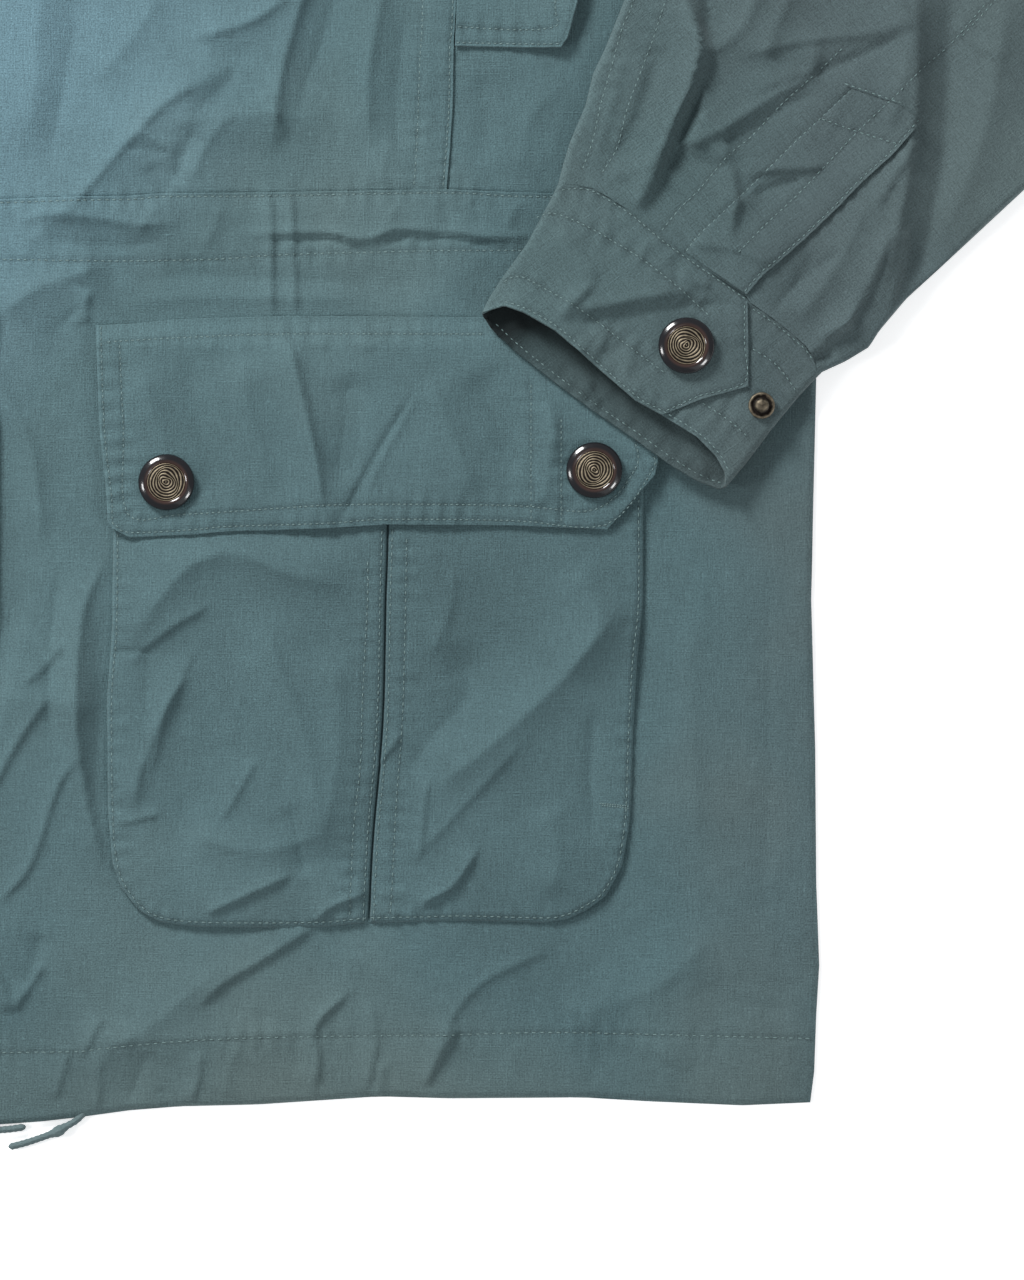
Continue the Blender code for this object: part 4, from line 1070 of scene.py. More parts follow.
# %% Pocket flap
FLAP_LEFT = seen((114,529), (109,522), (108,496), (101,431), (97,326))
FLAP_BOTTOM = seen((114,529), (131,538), (196,535), (229,532), (327,529), (385,525), (512,526), (607,530))
FLAP_RIGHT = seen((607,530), (655,475), (658,457), (658,326))
FLAP_TOP_LINE = seen((97,326), (144,323), (176,319), (229,317), (294,315), (477,315), (658,322))
FLAP_HIGH = top_of("left_pocket_flap")
FLAP_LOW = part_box("left_pocket_flap")[0].z / MM + 1.0
FLAP_RELIEF = 1.15
FLAP_LIFT, FLAP_MIDDLE, FLAP_LIFT_REACH = 1.2, 172.0, 62.0
CUFF_PRESS, CUFF_PRESS_REACH = 0.5, 11.0
FLAP_FOLDS = folds(
    (2.8, 8, 8, (520,330), (538,372), (552,420), (556,470)),
    (2.4, 2.4, 10, (284,318), (290,345), (303,400), (315,450), (322,490), (330,540)),
    (1.6, 9, 6, (288,330), (306,400), (326,500)),
    (-1.5, 6, 1.4, (418,384), (413,396), (385,440), (359,488), (344,516), (338,534)),
    (1, 2, 6, (420,392), (396,436), (378,470), (366,500)),
    (-2.6, 8, 8, (350,370), (352,430), (338,490)),
    (1.9, 8, 10, (428,372), (450,430), (478,505)),
    (-1.9, 8, 8, (470,370), (500,420), (516,480)),
    (-1.6, 9, 9, (186,350), (200,430), (226,510)),
    (1.9, 9, 9, (140,360), (160,430), (180,500)),
    (1.6, 8, 10, (244,350), (250,420), (276,500)),
    (1.4, 5, 6, (545,384), (552,430), (545,510)),
    (-0.7, 4, 4, (580,500), (560,515), (540,518)),
    (1.1, 3, 5, (500,330), (498,350), (500,372)),
    (0.8, 2.6, 4, (372,328), (370,340), (374,352)),
    (0.8, 2.6, 4, (330,328), (328,340), (326,352)),
    (0.7, 2.4, 4, (212,330), (214,342), (210,356)),
)
FLAP_EDGE = FLAP_LEFT[::-1] + FLAP_BOTTOM[1:] + FLAP_RIGHT[1:3]
FLAP_ROWS = [
    inset(FLAP_EDGE, 2.0).tolist(),
    seen((121,345), (125,431), (129,514), (183,515), (278,509), (359,505), (512,506), (595,510), (635,469), (635,443)),
    seen((108,343), (196,338), (287,335), (483,335)),
    seen((531,384), (531,521)),
    seen((561,419), (561,523)),
]


CUFF_BACK_MOUTH = seen((482,315), (491,330), (516,353), (555,384), (593,412), (631,438), (670,466), (695,481),
                       (718,490), (725,488))


def flap_height(x, y):
    rise = smoothstep(117.5, 130.0, -y)
    height = FLAP_LOW + (FLAP_HIGH - FLAP_LOW) * rise
    height = height + (FLAP_RELIEF * creases(FLAP_FOLDS, x, y) + waves(x, y, 41, 55.0, 0.4)) * rise
    height = height + FLAP_LIFT * bell(x - FLAP_MIDDLE, FLAP_LIFT_REACH) * smoothstep(176.0, 203.0, -y)
    mouth = away(x, y, CUFF_BACK_MOUTH)
    pressed = bell(mouth, CUFF_PRESS_REACH)
    height = height * (1 - pressed) + np.minimum(height, FLAP_HIGH - CUFF_PRESS) * pressed
    edge = away(x, y, line_of(FLAP_EDGE))
    height = height - 0.5 * bell(edge, 1.0)
    return height + stitched_rows(x, y, FLAP_ROWS, 0.28, 21)


def pocket_flap(side, prefix, cell):
    plan = patch(FLAP_BOTTOM, FLAP_RIGHT, FLAP_TOP_LINE, FLAP_LEFT)
    near = (0.4, 0.9, 1.5, 2.0, 2.6, 9.4, 10.0)
    cloth(prefix + "_pocket_flap", side, *grid_of((225.0, 85.0), cell, near), plan, flap_height,
          [prefix + "_pocket_flap"], [FLAP_EDGE], FLAP_ROWS, depth=1.1, rests=(prefix + "_pocket",))


both(pocket_flap, 1.15, 3.2)

# %% [markdown]
# ## The chest flap
#
# A tall flap hinges on the seam of the chest. Only its lower end shows here, lifted a little towards
# its free edge, with a dark shadow under it.

# %% Chest flap
CHEST_FLAP_LEFT = seen((455,47), (457,0)) + [(205.4, 120.0), (204.4, 150.0)]
CHEST_FLAP_BOTTOM = seen((455,47), (492,48), (530,49), (561,49))
CHEST_FLAP_RIGHT = seen((561,49), (567,40), (578,0)) + [(256.0, 60.0), (258.0, 150.0)]
CHEST_FLAP_EDGE = CHEST_FLAP_BOTTOM + CHEST_FLAP_RIGHT[1:]
CHEST_FLAP_ROWS = [inset(CHEST_FLAP_EDGE, 1.3).tolist(),
                   seen((457,28), (550,30), (555,0)) + [(246.0, 60.0), (248.0, 150.0)]]
CHEST_FLAP_HINGE, CHEST_FLAP_WIDE = 203.0, 46.0
CHEST_FLAP_RISE, CHEST_FLAP_LIFT = 1.5, 4.6


def chest_flap_height(x, y):
    lift = np.clip((x - CHEST_FLAP_HINGE) / CHEST_FLAP_WIDE, 0.0, 1.1)
    total = FRONT_TOP + CHEST_FLAP_RISE + CHEST_FLAP_LIFT * lift ** 2 + waves(x, y, 51, 40.0, 0.25)
    return total + stitched_rows(x, y, CHEST_FLAP_ROWS, 0.25, 31) + creases(CHEST_FOLDS, x, y) * 0.6


def chest_flap(side, prefix, cell):
    plan = patch(CHEST_FLAP_BOTTOM, CHEST_FLAP_RIGHT, [(204.4, 150.0), (258.0, 150.0)], CHEST_FLAP_LEFT)
    near = (0.4, 1.0, 1.6, 7.5, 8.2)
    cloth(prefix + "_chest_flap", side, *grid_of((46.0, 160.0), cell, near), plan, chest_flap_height,
          [prefix + "_chest_flap"], [CHEST_FLAP_EDGE], CHEST_FLAP_ROWS, wall=0.9, rests=(prefix + "_side_upper",))


both(chest_flap, 1.4, 2.8)

# %% [markdown]
# ## The sleeve
#
# The sleeve is a flattened tube. Its lower wall lies on the front and on the pocket's flap, and its
# upper wall has the deep creases of a bent elbow. Both walls are panels between the same two folds.

# %% Sleeve
SLEEVE_INNER = seen((558,186), (563,166), (570,143), (585,108), (593,75), (605,50), (625,0)) + [
    (278.0, 24.8), (284.0, 37.6), (291.2, 51.6), (298.0, 69.6), (303.2, 95.6), (304.0, 129.6), (300.0, 169.6)]
SLEEVE_OUTER = seen((817,377), (821,373), (845,362), (868,348), (878,332), (905,300), (940,268)) + smooth(
    seen((1024,190)) + [(464.0, -30.4), (484.0, 17.6), (480.0, 85.6), (454.0, 161.6), (398.0, 233.6), (328.0, 289.6),
                        (262.0, 316.0)], 4).tolist()
CUFF_SEAM = seen((558,186), (566,187), (577,188), (593,191), (610,201), (630,214), (650,231), (666,244),
            (683,256), (745,299), (748,304), (771,320), (789,334), (804,347), (812,359), (817,377))
SLEEVE_THICK = 5.6
SLEEVE_ROUND = 2.7
FALL_START, BODY_FALL_END, FLAP_FALL_END = 12.0, 90.0, 110.0
REST_GAP = 0.6
SLEEVE_FOLDS = folds(
    (2.4, 1.4, 7, (696,-20), (697,53), (690,87), (671,136), (649,194), (636,222)),
    (1.8, 1.3, 6, (729,63), (770,52), (811,43), (874,36), (927,19)),
    (-2, 6, 1.4, (738,111), (770,94), (811,77), (879,48), (922,29)),
    (2, 1.3, 5, (722,130), (725,150), (726,165), (736,190), (733,215), (729,240)),
    (2, 1.2, 5, (738,179), (772,172), (800,171), (832,166)),
    (-1.6, 4, 1.2, (748,200), (778,186), (806,180)),
    (2.2, 1.3, 7, (918,140), (900,168), (886,190), (872,216)),
    (2.6, 1.4, 8, (908,222), (904,250), (896,284), (886,314)),
    (2.6, 1.4, 6, (806,352), (826,338), (850,319), (866,294), (876,268), (888,228)),
    (1.6, 1.2, 4, (812,340), (834,330), (858,330), (872,334)),
    (1.7, 1.2, 5, (648,56), (638,90), (624,130), (612,160)),
    (1.6, 1.2, 4, (698,116), (716,132), (732,140)),
    (1.8, 1.3, 6, (650,156), (672,150), (690,144), (708,152)),
    (-1.4, 4, 1.2, (784,302), (800,282), (822,264), (844,250)),
    (4.3, 2.6, 9, (676,-40), (686,3), (693,25), (699,50), (696,70), (688,93), (676,116), (663,146),
     (653,179), (643,204), (632,226)),
    (-3.1, 9, 2.4, (700,-40), (706,10), (711,50), (705,80), (690,112), (674,150), (662,188)),
    (2.9, 2.4, 7, (820,30), (815,53), (809,78), (776,96), (742,119), (718,134), (693,146), (680,156)),
    (-1.7, 6, 2, (822,92), (782,110), (748,132), (712,150)),
    (3.2, 6, 9, (690,68), (701,60), (736,36), (756,0), (770,-30)),
    (2, 1.4, 5, (684,244), (700,247), (735,252), (760,262), (778,271)),
    (1.6, 1.4, 5, (744,200), (734,214), (730,248)),
    (2.4, 1.8, 5, (654,150), (644,186), (634,216)),
    (1.7, 4, 6, (622,50), (616,90), (604,130), (592,172)),
    (3.4, 13, 6, (706,20), (704,80), (698,130), (684,170)),
    (-1.2, 4, 4, (664,40), (650,90), (634,140)),
    (2.6, 5, 8, (760,70), (780,20), (800,-20)),
    (1.3, 2.2, 6, (604,186), (622,176), (650,168), (664,166)),
    (-1.4, 4, 4, (668,150), (690,160), (720,168), (748,160)),
    (1.4, 3, 6, (730,140), (734,170), (726,200), (712,222)),
    (2.6, 6, 8, (880,-40), (905,30), (900,90), (880,150)),
    (4.8, 5, 14, (916,-40), (916,40), (914,110), (906,180), (894,240), (882,290), (872,325)),
    (-4.2, 14, 8, (950,-40), (946,60), (944,130), (936,195), (922,250), (908,290), (894,322)),
    (3.8, 10, 18, (1010,-30), (998,60), (984,130), (962,190), (930,260)),
    (2.2, 1.3, 5, (800,366), (811,354), (832,340), (848,325), (854,306)),
    (1.7, 2, 5, (838,345), (848,316), (861,290), (879,259), (888,225)),
    (-2, 1.8, 1.8, (806,362), (818,358), (832,358)),
    (2.6, 7, 8, (790,330), (820,290), (850,240), (870,190)),
    (-1.9, 5, 5, (770,320), (790,290), (820,250)),
    (1.2, 3, 5, (700,180), (720,200), (760,205)),
    (0.9, 2, 4, (850,60), (870,110), (880,150)),
    (1.3, 2, 5, (950,20), (980,50), (1010,60)),
    (-1, 3, 4, (770,60), (800,70), (840,60)),
) + [
    Crease(2.4, 14.0, 18.0, [(330.0, 60.0), (370.0, 90.0), (430.0, 130.0)]),
    Crease(-2.6, 12.0, 12.0, [(300.0, 48.0), (360.0, 40.0), (440.0, 60.0)]),
    Crease(2.1, 10.0, 14.0, [(310.0, 150.0), (340.0, 190.0), (370.0, 210.0)]),
    Crease(-1.9, 8.0, 12.0, [(290.0, 220.0), (320.0, 250.0), (330.0, 270.0)]),
]
PLACKET_EDGE = seen((745,297), (762,277), (777,265), (807,238), (837,209), (861,184), (891,157), (920,124))
PLACKET_ROWS = [
    inset(PLACKET_EDGE, 1.4).tolist(),
    seen((842,86), (889,103), (901,107)),
    seen((819,121), (855,134), (895,147)),
]
SLEEVE_ROWS = [
    seen((582,172), (593,141), (600,108), (611,70), (621,33), (631,10), (640,-20)),
    seen((601,176), (617,149), (626,113), (640,75), (653,40), (666,0), (674,-20)),
    seen((660,234), (678,212), (699,191), (727,158), (751,138), (779,108), (809,81), (842,50)),
    seen((684,255), (698,237), (726,211), (759,179), (792,146), (819,121), (850,92)),
    seen((736,256), (764,227), (797,196), (820,172), (855,135), (889,103), (925,67), (950,45), (984,6)),
    seen((960,39), (996,0), (1020,-24)),
]


def outside(x, y, outline):
    """How far places are outside a closed outline, and nothing inside it."""
    ring = np.array(outline + outline[:1], float)
    distance = away(x, y, ring)
    inside = np.zeros(np.shape(x), bool)
    for (x0, y0), (x1, y1) in zip(ring, ring[1:]):
        crosses = (y0 > y) != (y1 > y)
        inside ^= crosses & (x < (x1 - x0) * (y - y0) / (y1 - y0 + 1e-12) + x0)
    return np.where(inside, 0.0, distance)


FLAP_OUTLINE = FLAP_BOTTOM + FLAP_RIGHT[1:] + FLAP_TOP_LINE[::-1][1:] + FLAP_LEFT[::-1][1:-1]


def rest_height(x, y):
    """What a sleeve lies on: the front and the pocket's flap, with a soft fall past their edges."""
    body = (FRONT_TOP + REST_GAP) * (1 - smoothstep(FALL_START, BODY_FALL_END, outside(x, y, BODY_OUTLINE)))
    flap = (FLAP_HIGH + REST_GAP) * (1 - smoothstep(FALL_START, FLAP_FALL_END, outside(x, y, FLAP_OUTLINE)))
    return np.maximum(body, flap)


def fold_round(edge):
    """How near the top of a flattened fold a place is, from 0 on the fold to 1 where the wall is flat."""
    return np.sqrt(1 - (1 - np.clip(edge / SLEEVE_ROUND, 0.0, 1.0)) ** 2)


def sleeve_top(x, y):
    height = rest_height(x, y) + SLEEVE_THICK + creases(SLEEVE_FOLDS, x, y) + waves(x, y, 61, 60.0, 0.6)
    return height + waves(x, y, 62, 24.0, 0.12) + stitched_rows(x, y, SLEEVE_ROWS, 0.25, 41)


def placket_top(x, y):
    """The placket strip on the sleeve, lifted along its free edge."""
    edge = away(x, y, PLACKET_EDGE)
    free = away(x, y, [PLACKET_EDGE[-1], (379.0, -34.0), SLEEVE_ROWS[3][-1]])
    height = sleeve_top(x, y) + 0.15 + 1.3 * (1 - smoothstep(4.0, 22.0, np.minimum(edge, free)))
    return height + stitched_rows(x, y, PLACKET_ROWS, 0.25, 91)


def tube(name, side, columns, rows, upper, lower, folds_at, top, nodes, edge_lines, sewn_lines, wall=0.0,
         rests=(), below=lambda x, y: 0.0, inside=lambda x, y: 0.0 * x):
    """A flattened tube: once round from u = 0 to 1, along its lower wall and back along its upper one."""
    def place(u, v):
        is_upper = u > 0.5
        across = np.where(is_upper, 2 - 2 * u, 2 * u)
        spots = np.where(is_upper[:, None], upper(across, v), lower(across, v))
        x, y = spots[:, 0], spots[:, 1]
        edge = np.minimum(away(x, y, folds_at[0]), away(x, y, folds_at[1]))
        low = rest_height(x, y)
        middle = low + SLEEVE_THICK / 2
        ends = np.where(is_upper, top(x, y), low + 0.15 + below(x, y))
        height = middle + (ends - middle) * fold_round(edge)
        marks = marked(x, y, edge_lines, sewn_lines)
        # Painted shade along the stitch grooves shows on the upper wall only.
        marks["sewn"] *= is_upper
        # Painted shade darkens the lower wall where the cuff's mouth shows its inside.
        marks["inside"] = np.where(is_upper, 0.0, inside(x, y))
        return np.stack([side * x, y, height], -1), cut_sleeve(spots), marks

    mesh = fill_mesh(name, columns, rows, place)
    merge_seam(mesh)
    if side < 0:
        mesh.flip_normals()
    piece = add_piece(name, mesh, sleeve_cloth, nodes)
    if wall:
        thicken(piece, wall)
    middle = np.full(len(columns), 0.5)
    girth = 2 * np.linalg.norm(upper(np.array([0.0]), middle[:1]) - upper(np.array([1.0]), middle[:1]))
    length = curve(upper(np.full(len(rows), 0.5), rows)).length
    min(1.0, max(LEAST_SHARE, area_of(mesh) / (girth * length * MM * MM))) * girth * length * MM * MM
    print(name, len(mesh.polygons), "faces")


SLEEVE_TURN = math.radians(-37.0)


def cut_sleeve(spots):
    """A sleeve's threads run along the sleeve, so its cut is turned."""
    turned = [spots[:, 0] * math.cos(SLEEVE_TURN) - spots[:, 1] * math.sin(SLEEVE_TURN),
              spots[:, 0] * math.sin(SLEEVE_TURN) + spots[:, 1] * math.cos(SLEEVE_TURN)]
    return np.stack(turned, -1)


def around(width, cell, far_cell):
    """Shares once round a flattened tube, close together on the upper wall and near the folds."""
    close = (0.25, 0.7, 1.3, 2.0, 2.8)
    lower = even(width, far_cell, close) / 2
    upper = 0.5 + even(width, cell, close) / 2
    return np.unique(np.round(np.concatenate([lower, upper]), 6))


def sleeve(side, prefix, cell):
    armhole = [SLEEVE_INNER[-1], SLEEVE_OUTER[-1]]
    upper = patch(CUFF_SEAM, SLEEVE_OUTER, armhole, SLEEVE_INNER)
    lower = patch([CUFF_SEAM[0], CUFF_SEAM[-1]], SLEEVE_OUTER, armhole, SLEEVE_INNER)
    tube(prefix + "_sleeve", side, around(150.0, cell, 5.0), crowded(cell, 3.6, 400.0, 0.42), upper, lower,
         (SLEEVE_INNER, SLEEVE_OUTER), sleeve_top, [prefix + "_sleeve"], [SLEEVE_INNER, SLEEVE_OUTER], SLEEVE_ROWS,
         rests=(prefix + "_side_upper", prefix + "_lower_front"))
    plan = patch([SLEEVE_ROWS[3][0], PLACKET_EDGE[0]], PLACKET_EDGE,
                 [SLEEVE_ROWS[3][-1], (379.0, -34.0), PLACKET_EDGE[-1]], SLEEVE_ROWS[3])
    near = (0.4, 1.0, 1.8)
    cloth(prefix + "_sleeve_placket", side, *grid_of((30.0, 90.0), cell, near), plan, placket_top,
          [prefix + "_sleeve_placket"], [PLACKET_EDGE], [SLEEVE_ROWS[4]] + PLACKET_ROWS, depth=1.2,
          material=sleeve_cloth, slot="sleeve_cloth", rests=(prefix + "_sleeve",), turned=True)


both(sleeve, 1.5, 3.8)

# %% [markdown]
# ## The cuff
#
# The cuff is a second flattened tube, of doubled cloth. Its mouth shows the inside of its lower wall,
# which reaches past the upper one and is darkened with painted shade. A pointed end laps over it and
# is held by the snap.

# %% Cuff
CUFF_INNER = seen((482,315), (490,299), (501,282), (527,246), (550,203), (558,186))
CUFF_OUTER = seen((725,488), (746,463), (770,431), (798,397), (817,377))
CUFF_MOUTH = seen((482,315), (504,308), (524,315), (555,333), (593,366), (634,402), (661,417), (695,438), (715,458),
                  (723,473), (725,488))
LAP_BOTTOM = seen((482,315), (504,308), (524,315), (555,333), (593,366), (634,402), (661,417), (700,401), (747,388))
LAP_RIGHT = seen((747,388), (747,345), (746,304))
CUFF_FOLDS = folds(
    (2.2, 3.2, 9, (556,326), (572,314), (600,309), (640,301), (683,294), (698,296)),
    (-1.9, 10, 2.8, (556,328), (600,321), (640,315), (681,309), (716,306), (744,304)),
    (1.5, 1.2, 4, (590,286), (580,298), (566,312)),
    (1.5, 1.2, 4, (676,276), (690,284), (712,290)),
    (1.2, 1.1, 3, (612,330), (600,348), (590,360)),
    (1.2, 1.1, 3, (640,350), (630,366), (622,380)),
    (3.4, 11, 13, (492,306), (520,318), (560,340), (600,366)),
    (1.4, 8, 8, (610,372), (650,402), (690,428), (718,460)),
    (0.8, 5, 11, (540,322), (560,319), (583,315), (615,307), (644,300), (668,296), (686,295), (700,298)),
    (1.2, 2, 4, (596,278), (590,290), (575,306), (560,316)),
    (1.9, 5, 7, (560,226), (580,262), (600,285)),
    (-1, 3, 3, (668,258), (676,270), (672,292)),
    (0.9, 2, 3.4, (622,372), (632,352), (640,338)),
    (0.9, 2, 3.4, (596,352), (604,338), (610,326)),
    (0.9, 2, 3.4, (560,322), (568,304), (574,292)),
    (0.8, 2, 3, (610,214), (604,232), (600,246)),
    (0.8, 2, 3, (648,240), (642,256), (636,270)),
    (1.4, 4, 6, (732,440), (748,420), (760,395)),
    (-0.9, 3, 3, (720,420), (730,400), (736,392)),
    (0.9, 2.4, 4, (700,372), (712,352), (720,330)),
)
CUFF_ROWS = [
    seen((560,193), (577,191), (593,194), (610,204), (630,217), (650,234), (666,247), (683,259), (745,302)),
    seen((535,221), (552,216), (580,226), (616,246), (644,264), (677,290), (708,318)),
    seen((503,285), (519,279), (542,290), (568,305), (598,325), (634,353), (664,375)),
    inset(CUFF_MOUTH, 1.6).tolist()[1:-1],
]
UNDER_ROWS = [
    seen((750,310), (771,324), (789,338), (804,351), (811,361)),
    seen((750,350), (771,363), (784,377), (795,393)),
    seen((700,404), (725,420), (746,438)),
]
LAP_ROWS = [seen((743,306), (743,345), (743,384), (700,397), (664,413))]
LAP_THICK = 1.3


BACK_MOUTH_ROW = [(x + 1.6, y + 2.2) for x, y in CUFF_BACK_MOUTH[1:-1]]


def cuff_lip(x, y):
    """The lower wall near the mouth: pressed on the flap under it, and drawn in by its stitches."""
    edge = away(x, y, CUFF_BACK_MOUTH)
    corner = np.hypot(x - CUFF_MOUTH[0][0], y - CUFF_MOUTH[0][1])
    crinkled = np.abs(waves(x, y, 67, 7.0, 0.8)) * bell(edge, 5.0)
    crinkled = crinkled * (0.5 + 1.2 * bell(corner, 26.0))
    billowed = np.abs(waves(x, y, 68, 15.0, 0.8)) * smoothstep(1.0, 5.0, edge)
    return -0.2 + 1.2 * stitched(x, y, BACK_MOUTH_ROW, 0.2, 66) + crinkled + billowed


def lip_height(x, y):
    """The inside of the cuff's lower wall at its mouth."""
    return rest_height(x, y) + cuff_lip(x, y) + 0.85


def cuff_inside_shade(x, y):
    """Painted shade on the inside of the cuff: some over all its lower wall, most at the inner corner and along the
    mouth near the inner fold.
    """
    gap, _, share = nearest(x, y, CUFF_MOUTH)
    corner = np.hypot(x - CUFF_MOUTH[0][0], y - CUFF_MOUTH[0][1])
    at_fold = 0.4 * bell(gap, 6.0) * (1 - smoothstep(0.3, 1.0, share))
    return 0.36 + 0.9 * bell(corner, 20.0) + at_fold


def cuff_top(x, y):
    height = rest_height(x, y) + SLEEVE_THICK + creases(CUFF_FOLDS, x, y) + waves(x, y, 71, 45.0, 0.25)
    return height + stitched_rows(x, y, CUFF_ROWS + UNDER_ROWS, 0.25, 51)


def lap_top(x, y):
    """The end of the cuff that laps over: it follows the upper wall and rounds down at the inner fold."""
    edge = away(x, y, CUFF_INNER)
    middle = rest_height(x, y) + SLEEVE_THICK / 2
    return (middle + (cuff_top(x, y) - middle) * fold_round(edge + 0.3) + LAP_THICK
            + stitched(x, y, LAP_ROWS[0], 0.25, 61))


def cuff(side, prefix, cell):
    upper = patch(CUFF_MOUTH, CUFF_OUTER, CUFF_SEAM, CUFF_INNER)
    lower = patch(CUFF_BACK_MOUTH, CUFF_OUTER, [CUFF_SEAM[0], CUFF_SEAM[-1]], CUFF_INNER)
    tube(prefix + "_cuff", side, around(130.0, cell, cell * 1.4), even(58.0, cell, (0.4, 1.0, 1.6)), upper, lower,
         (CUFF_INNER, CUFF_OUTER), cuff_top, [prefix + "_cuff"], [CUFF_MOUTH, CUFF_BACK_MOUTH], UNDER_ROWS,
         wall=0.8, below=cuff_lip, inside=cuff_inside_shade, rests=(prefix + "_pocket_flap",))
    plan = patch(LAP_BOTTOM, LAP_RIGHT, CUFF_SEAM[:10], CUFF_INNER)
    near = (0.4, 1.0, 1.6, 2.4)
    cloth(prefix + "_cuff_lap", side, *grid_of((105.0, 55.0), cell, near), plan, lap_top,
          [prefix + "_cuff_tab"], [LAP_BOTTOM, LAP_RIGHT], CUFF_ROWS + LAP_ROWS, depth=1.2,
          material=sleeve_cloth, slot="sleeve_cloth", rests=(prefix + "_cuff",), turned=True)


both(cuff, 1.25, 3.2)

# %% [markdown]
# ## The collar and the front placket
#
# These lie outside the photograph, so they are plain: a one-piece collar whose leaves lie on the
# fronts, and a strip over the closure with a row of snaps.

# %% Collar and placket
CollarRow = namedtuple("CollarRow", "share inner_x inner_y outer_x outer_y under")
ROW_SEAM = 6.0
COLLAR = np.array([
    CollarRow(0.00, 0.0, 361.0, 0.0, 440.0, 0.9),
    CollarRow(0.30, 40.0, 362.6, 52.0, 437.0, 0.9),
    CollarRow(0.55, 80.0, 370.0, 106.0, 420.0, 3.8),
    CollarRow(0.70, 84.0, 358.0, 128.0, 382.0, 3.8),
    CollarRow(0.85, 54.0, 322.0, 116.0, 322.0, 3.8),
    CollarRow(1.00, 20.0, 303.0, 74.0, 256.0, 3.8),
])
CLOTH_THICK = 1.5
COLLAR_ROUND, COLLAR_DEEP = 900.0, 74.0
PLACKET_HALF = 18.5


def collar_place(u, v):
    share = np.abs(2 * u - 1)
    inner_x, inner_y, outer_x, outer_y, under = (np.interp(share, COLLAR[:, 0], COLLAR[:, column])
                                                 for column in range(1, 6))
    x = np.where(u < 0.5, -1.0, 1.0) * (inner_x + (outer_x - inner_x) * v)
    y = inner_y + (outer_y - inner_y) * v
    roll = 0.9 * bell(v, 0.12)
    height = under + CLOTH_THICK + roll + waves(x, y, 81, 60.0, 0.3)
    seam = np.minimum(np.minimum(1 - v, v) * COLLAR_DEEP, (1 - share) * 300.0)
    height = height - 0.3 * bell(seam - ROW_SEAM, GROOVE_WIDTH)
    # The collar's row of stitches gets painted shade along its groove.
    marks = {"rubbed": bell(seam, RUB_WIDTH), "sewn": bell(seam - ROW_SEAM, STITCH_SHADE_WIDTH)}
    return np.stack([x, y, height], -1), np.stack([u * COLLAR_ROUND, v * COLLAR_DEEP], -1), marks


collar_mesh = fill_mesh("collar", even(COLLAR_ROUND, 4.5, NEAR_EDGE), even(COLLAR_DEEP, 3.0, NEAR_EDGE), collar_place)
turn_down(collar_mesh, 1.3)
collar = add_piece("collar", collar_mesh, body_cloth, ["collar"])

placket_low, placket_high = -439.0, 298.0
FRONT_ROWS = [[(x, placket_low + 2), (x, placket_high - 2)] for x in (-16.0, 16.0)]


def placket_height(x, y):
    height = FRONT_TOP + 1.5 + waves(x, y, 91, 90.0, 0.3)
    return height + stitched_rows(x, y, FRONT_ROWS, 0.28, 71)


placket_corners = [(-PLACKET_HALF, placket_low), (PLACKET_HALF, placket_low), (PLACKET_HALF, placket_high),
                   (-PLACKET_HALF, placket_high)]
cloth("front_placket", 1.0, even(37.0, 2.4, (0.5, 1.5, 2.5)), even(737.0, 4.0, NEAR_EDGE),
      patch(placket_corners[:2], placket_corners[1:3], placket_corners[3:1:-1],
            [placket_corners[0], placket_corners[3]]),
      placket_height, ["front_placket"], [placket_corners[:2]], FRONT_ROWS, depth=1.1,
      rests=("left_front_upper", "right_front_upper", "left_lower_front", "right_lower_front"))

# %% [markdown]
# ## Snap caps
#
# Each cap is a glossy shell, near black with a brown inner ring, around a disc of antique brass. The
# disc is engraved with plain rings that wander a little, as if drawn by hand. All of it is turned.

# %% Snap caps
CAP_RADIUS = 11.2
DISC_RADIUS = 7.4
NEAR_BLACK, RING_BROWN = (0.008, 0.008, 0.010, 1.0), (0.038, 0.020, 0.016, 1.0)
TARNISHED, BRASS = (0.012, 0.009, 0.007, 1.0), (0.40, 0.335, 0.235, 1.0)
shell_recipe = Recipe("snap_cap")
from_middle = shell_recipe.mark("rubbed")
scuffs = shell_recipe.noise(260.0, 260.0, 4.0)
brown_share = ((0.82 - from_middle) * 12.0).clamped()
shell_black = shell_recipe.finish(
    Base_Color=shell_recipe.blend(brown_share, NEAR_BLACK, RING_BROWN),
    Roughness=scuffs * 0.16 + 0.08, Specular_IOR_Level=0.5, Coat_Weight=0.25, Coat_Roughness=0.06)

brass_recipe = Recipe("antique_brass")
engraved = brass_recipe.mark("rubbed")
tarnish = brass_recipe.noise(600.0, 600.0, 3.0)
brass_share = (engraved * 1.15 + tarnish.swing(0.8) - 0.16).clamped()
antique_brass = brass_recipe.finish(
    Base_Color=brass_recipe.blend(brass_share, TARNISHED, BRASS),
    Metallic=0.75, Roughness=tarnish * 0.2 + 0.42,
    Normal=brass_recipe.bump(tarnish, 0.0002, Strength=0.4))


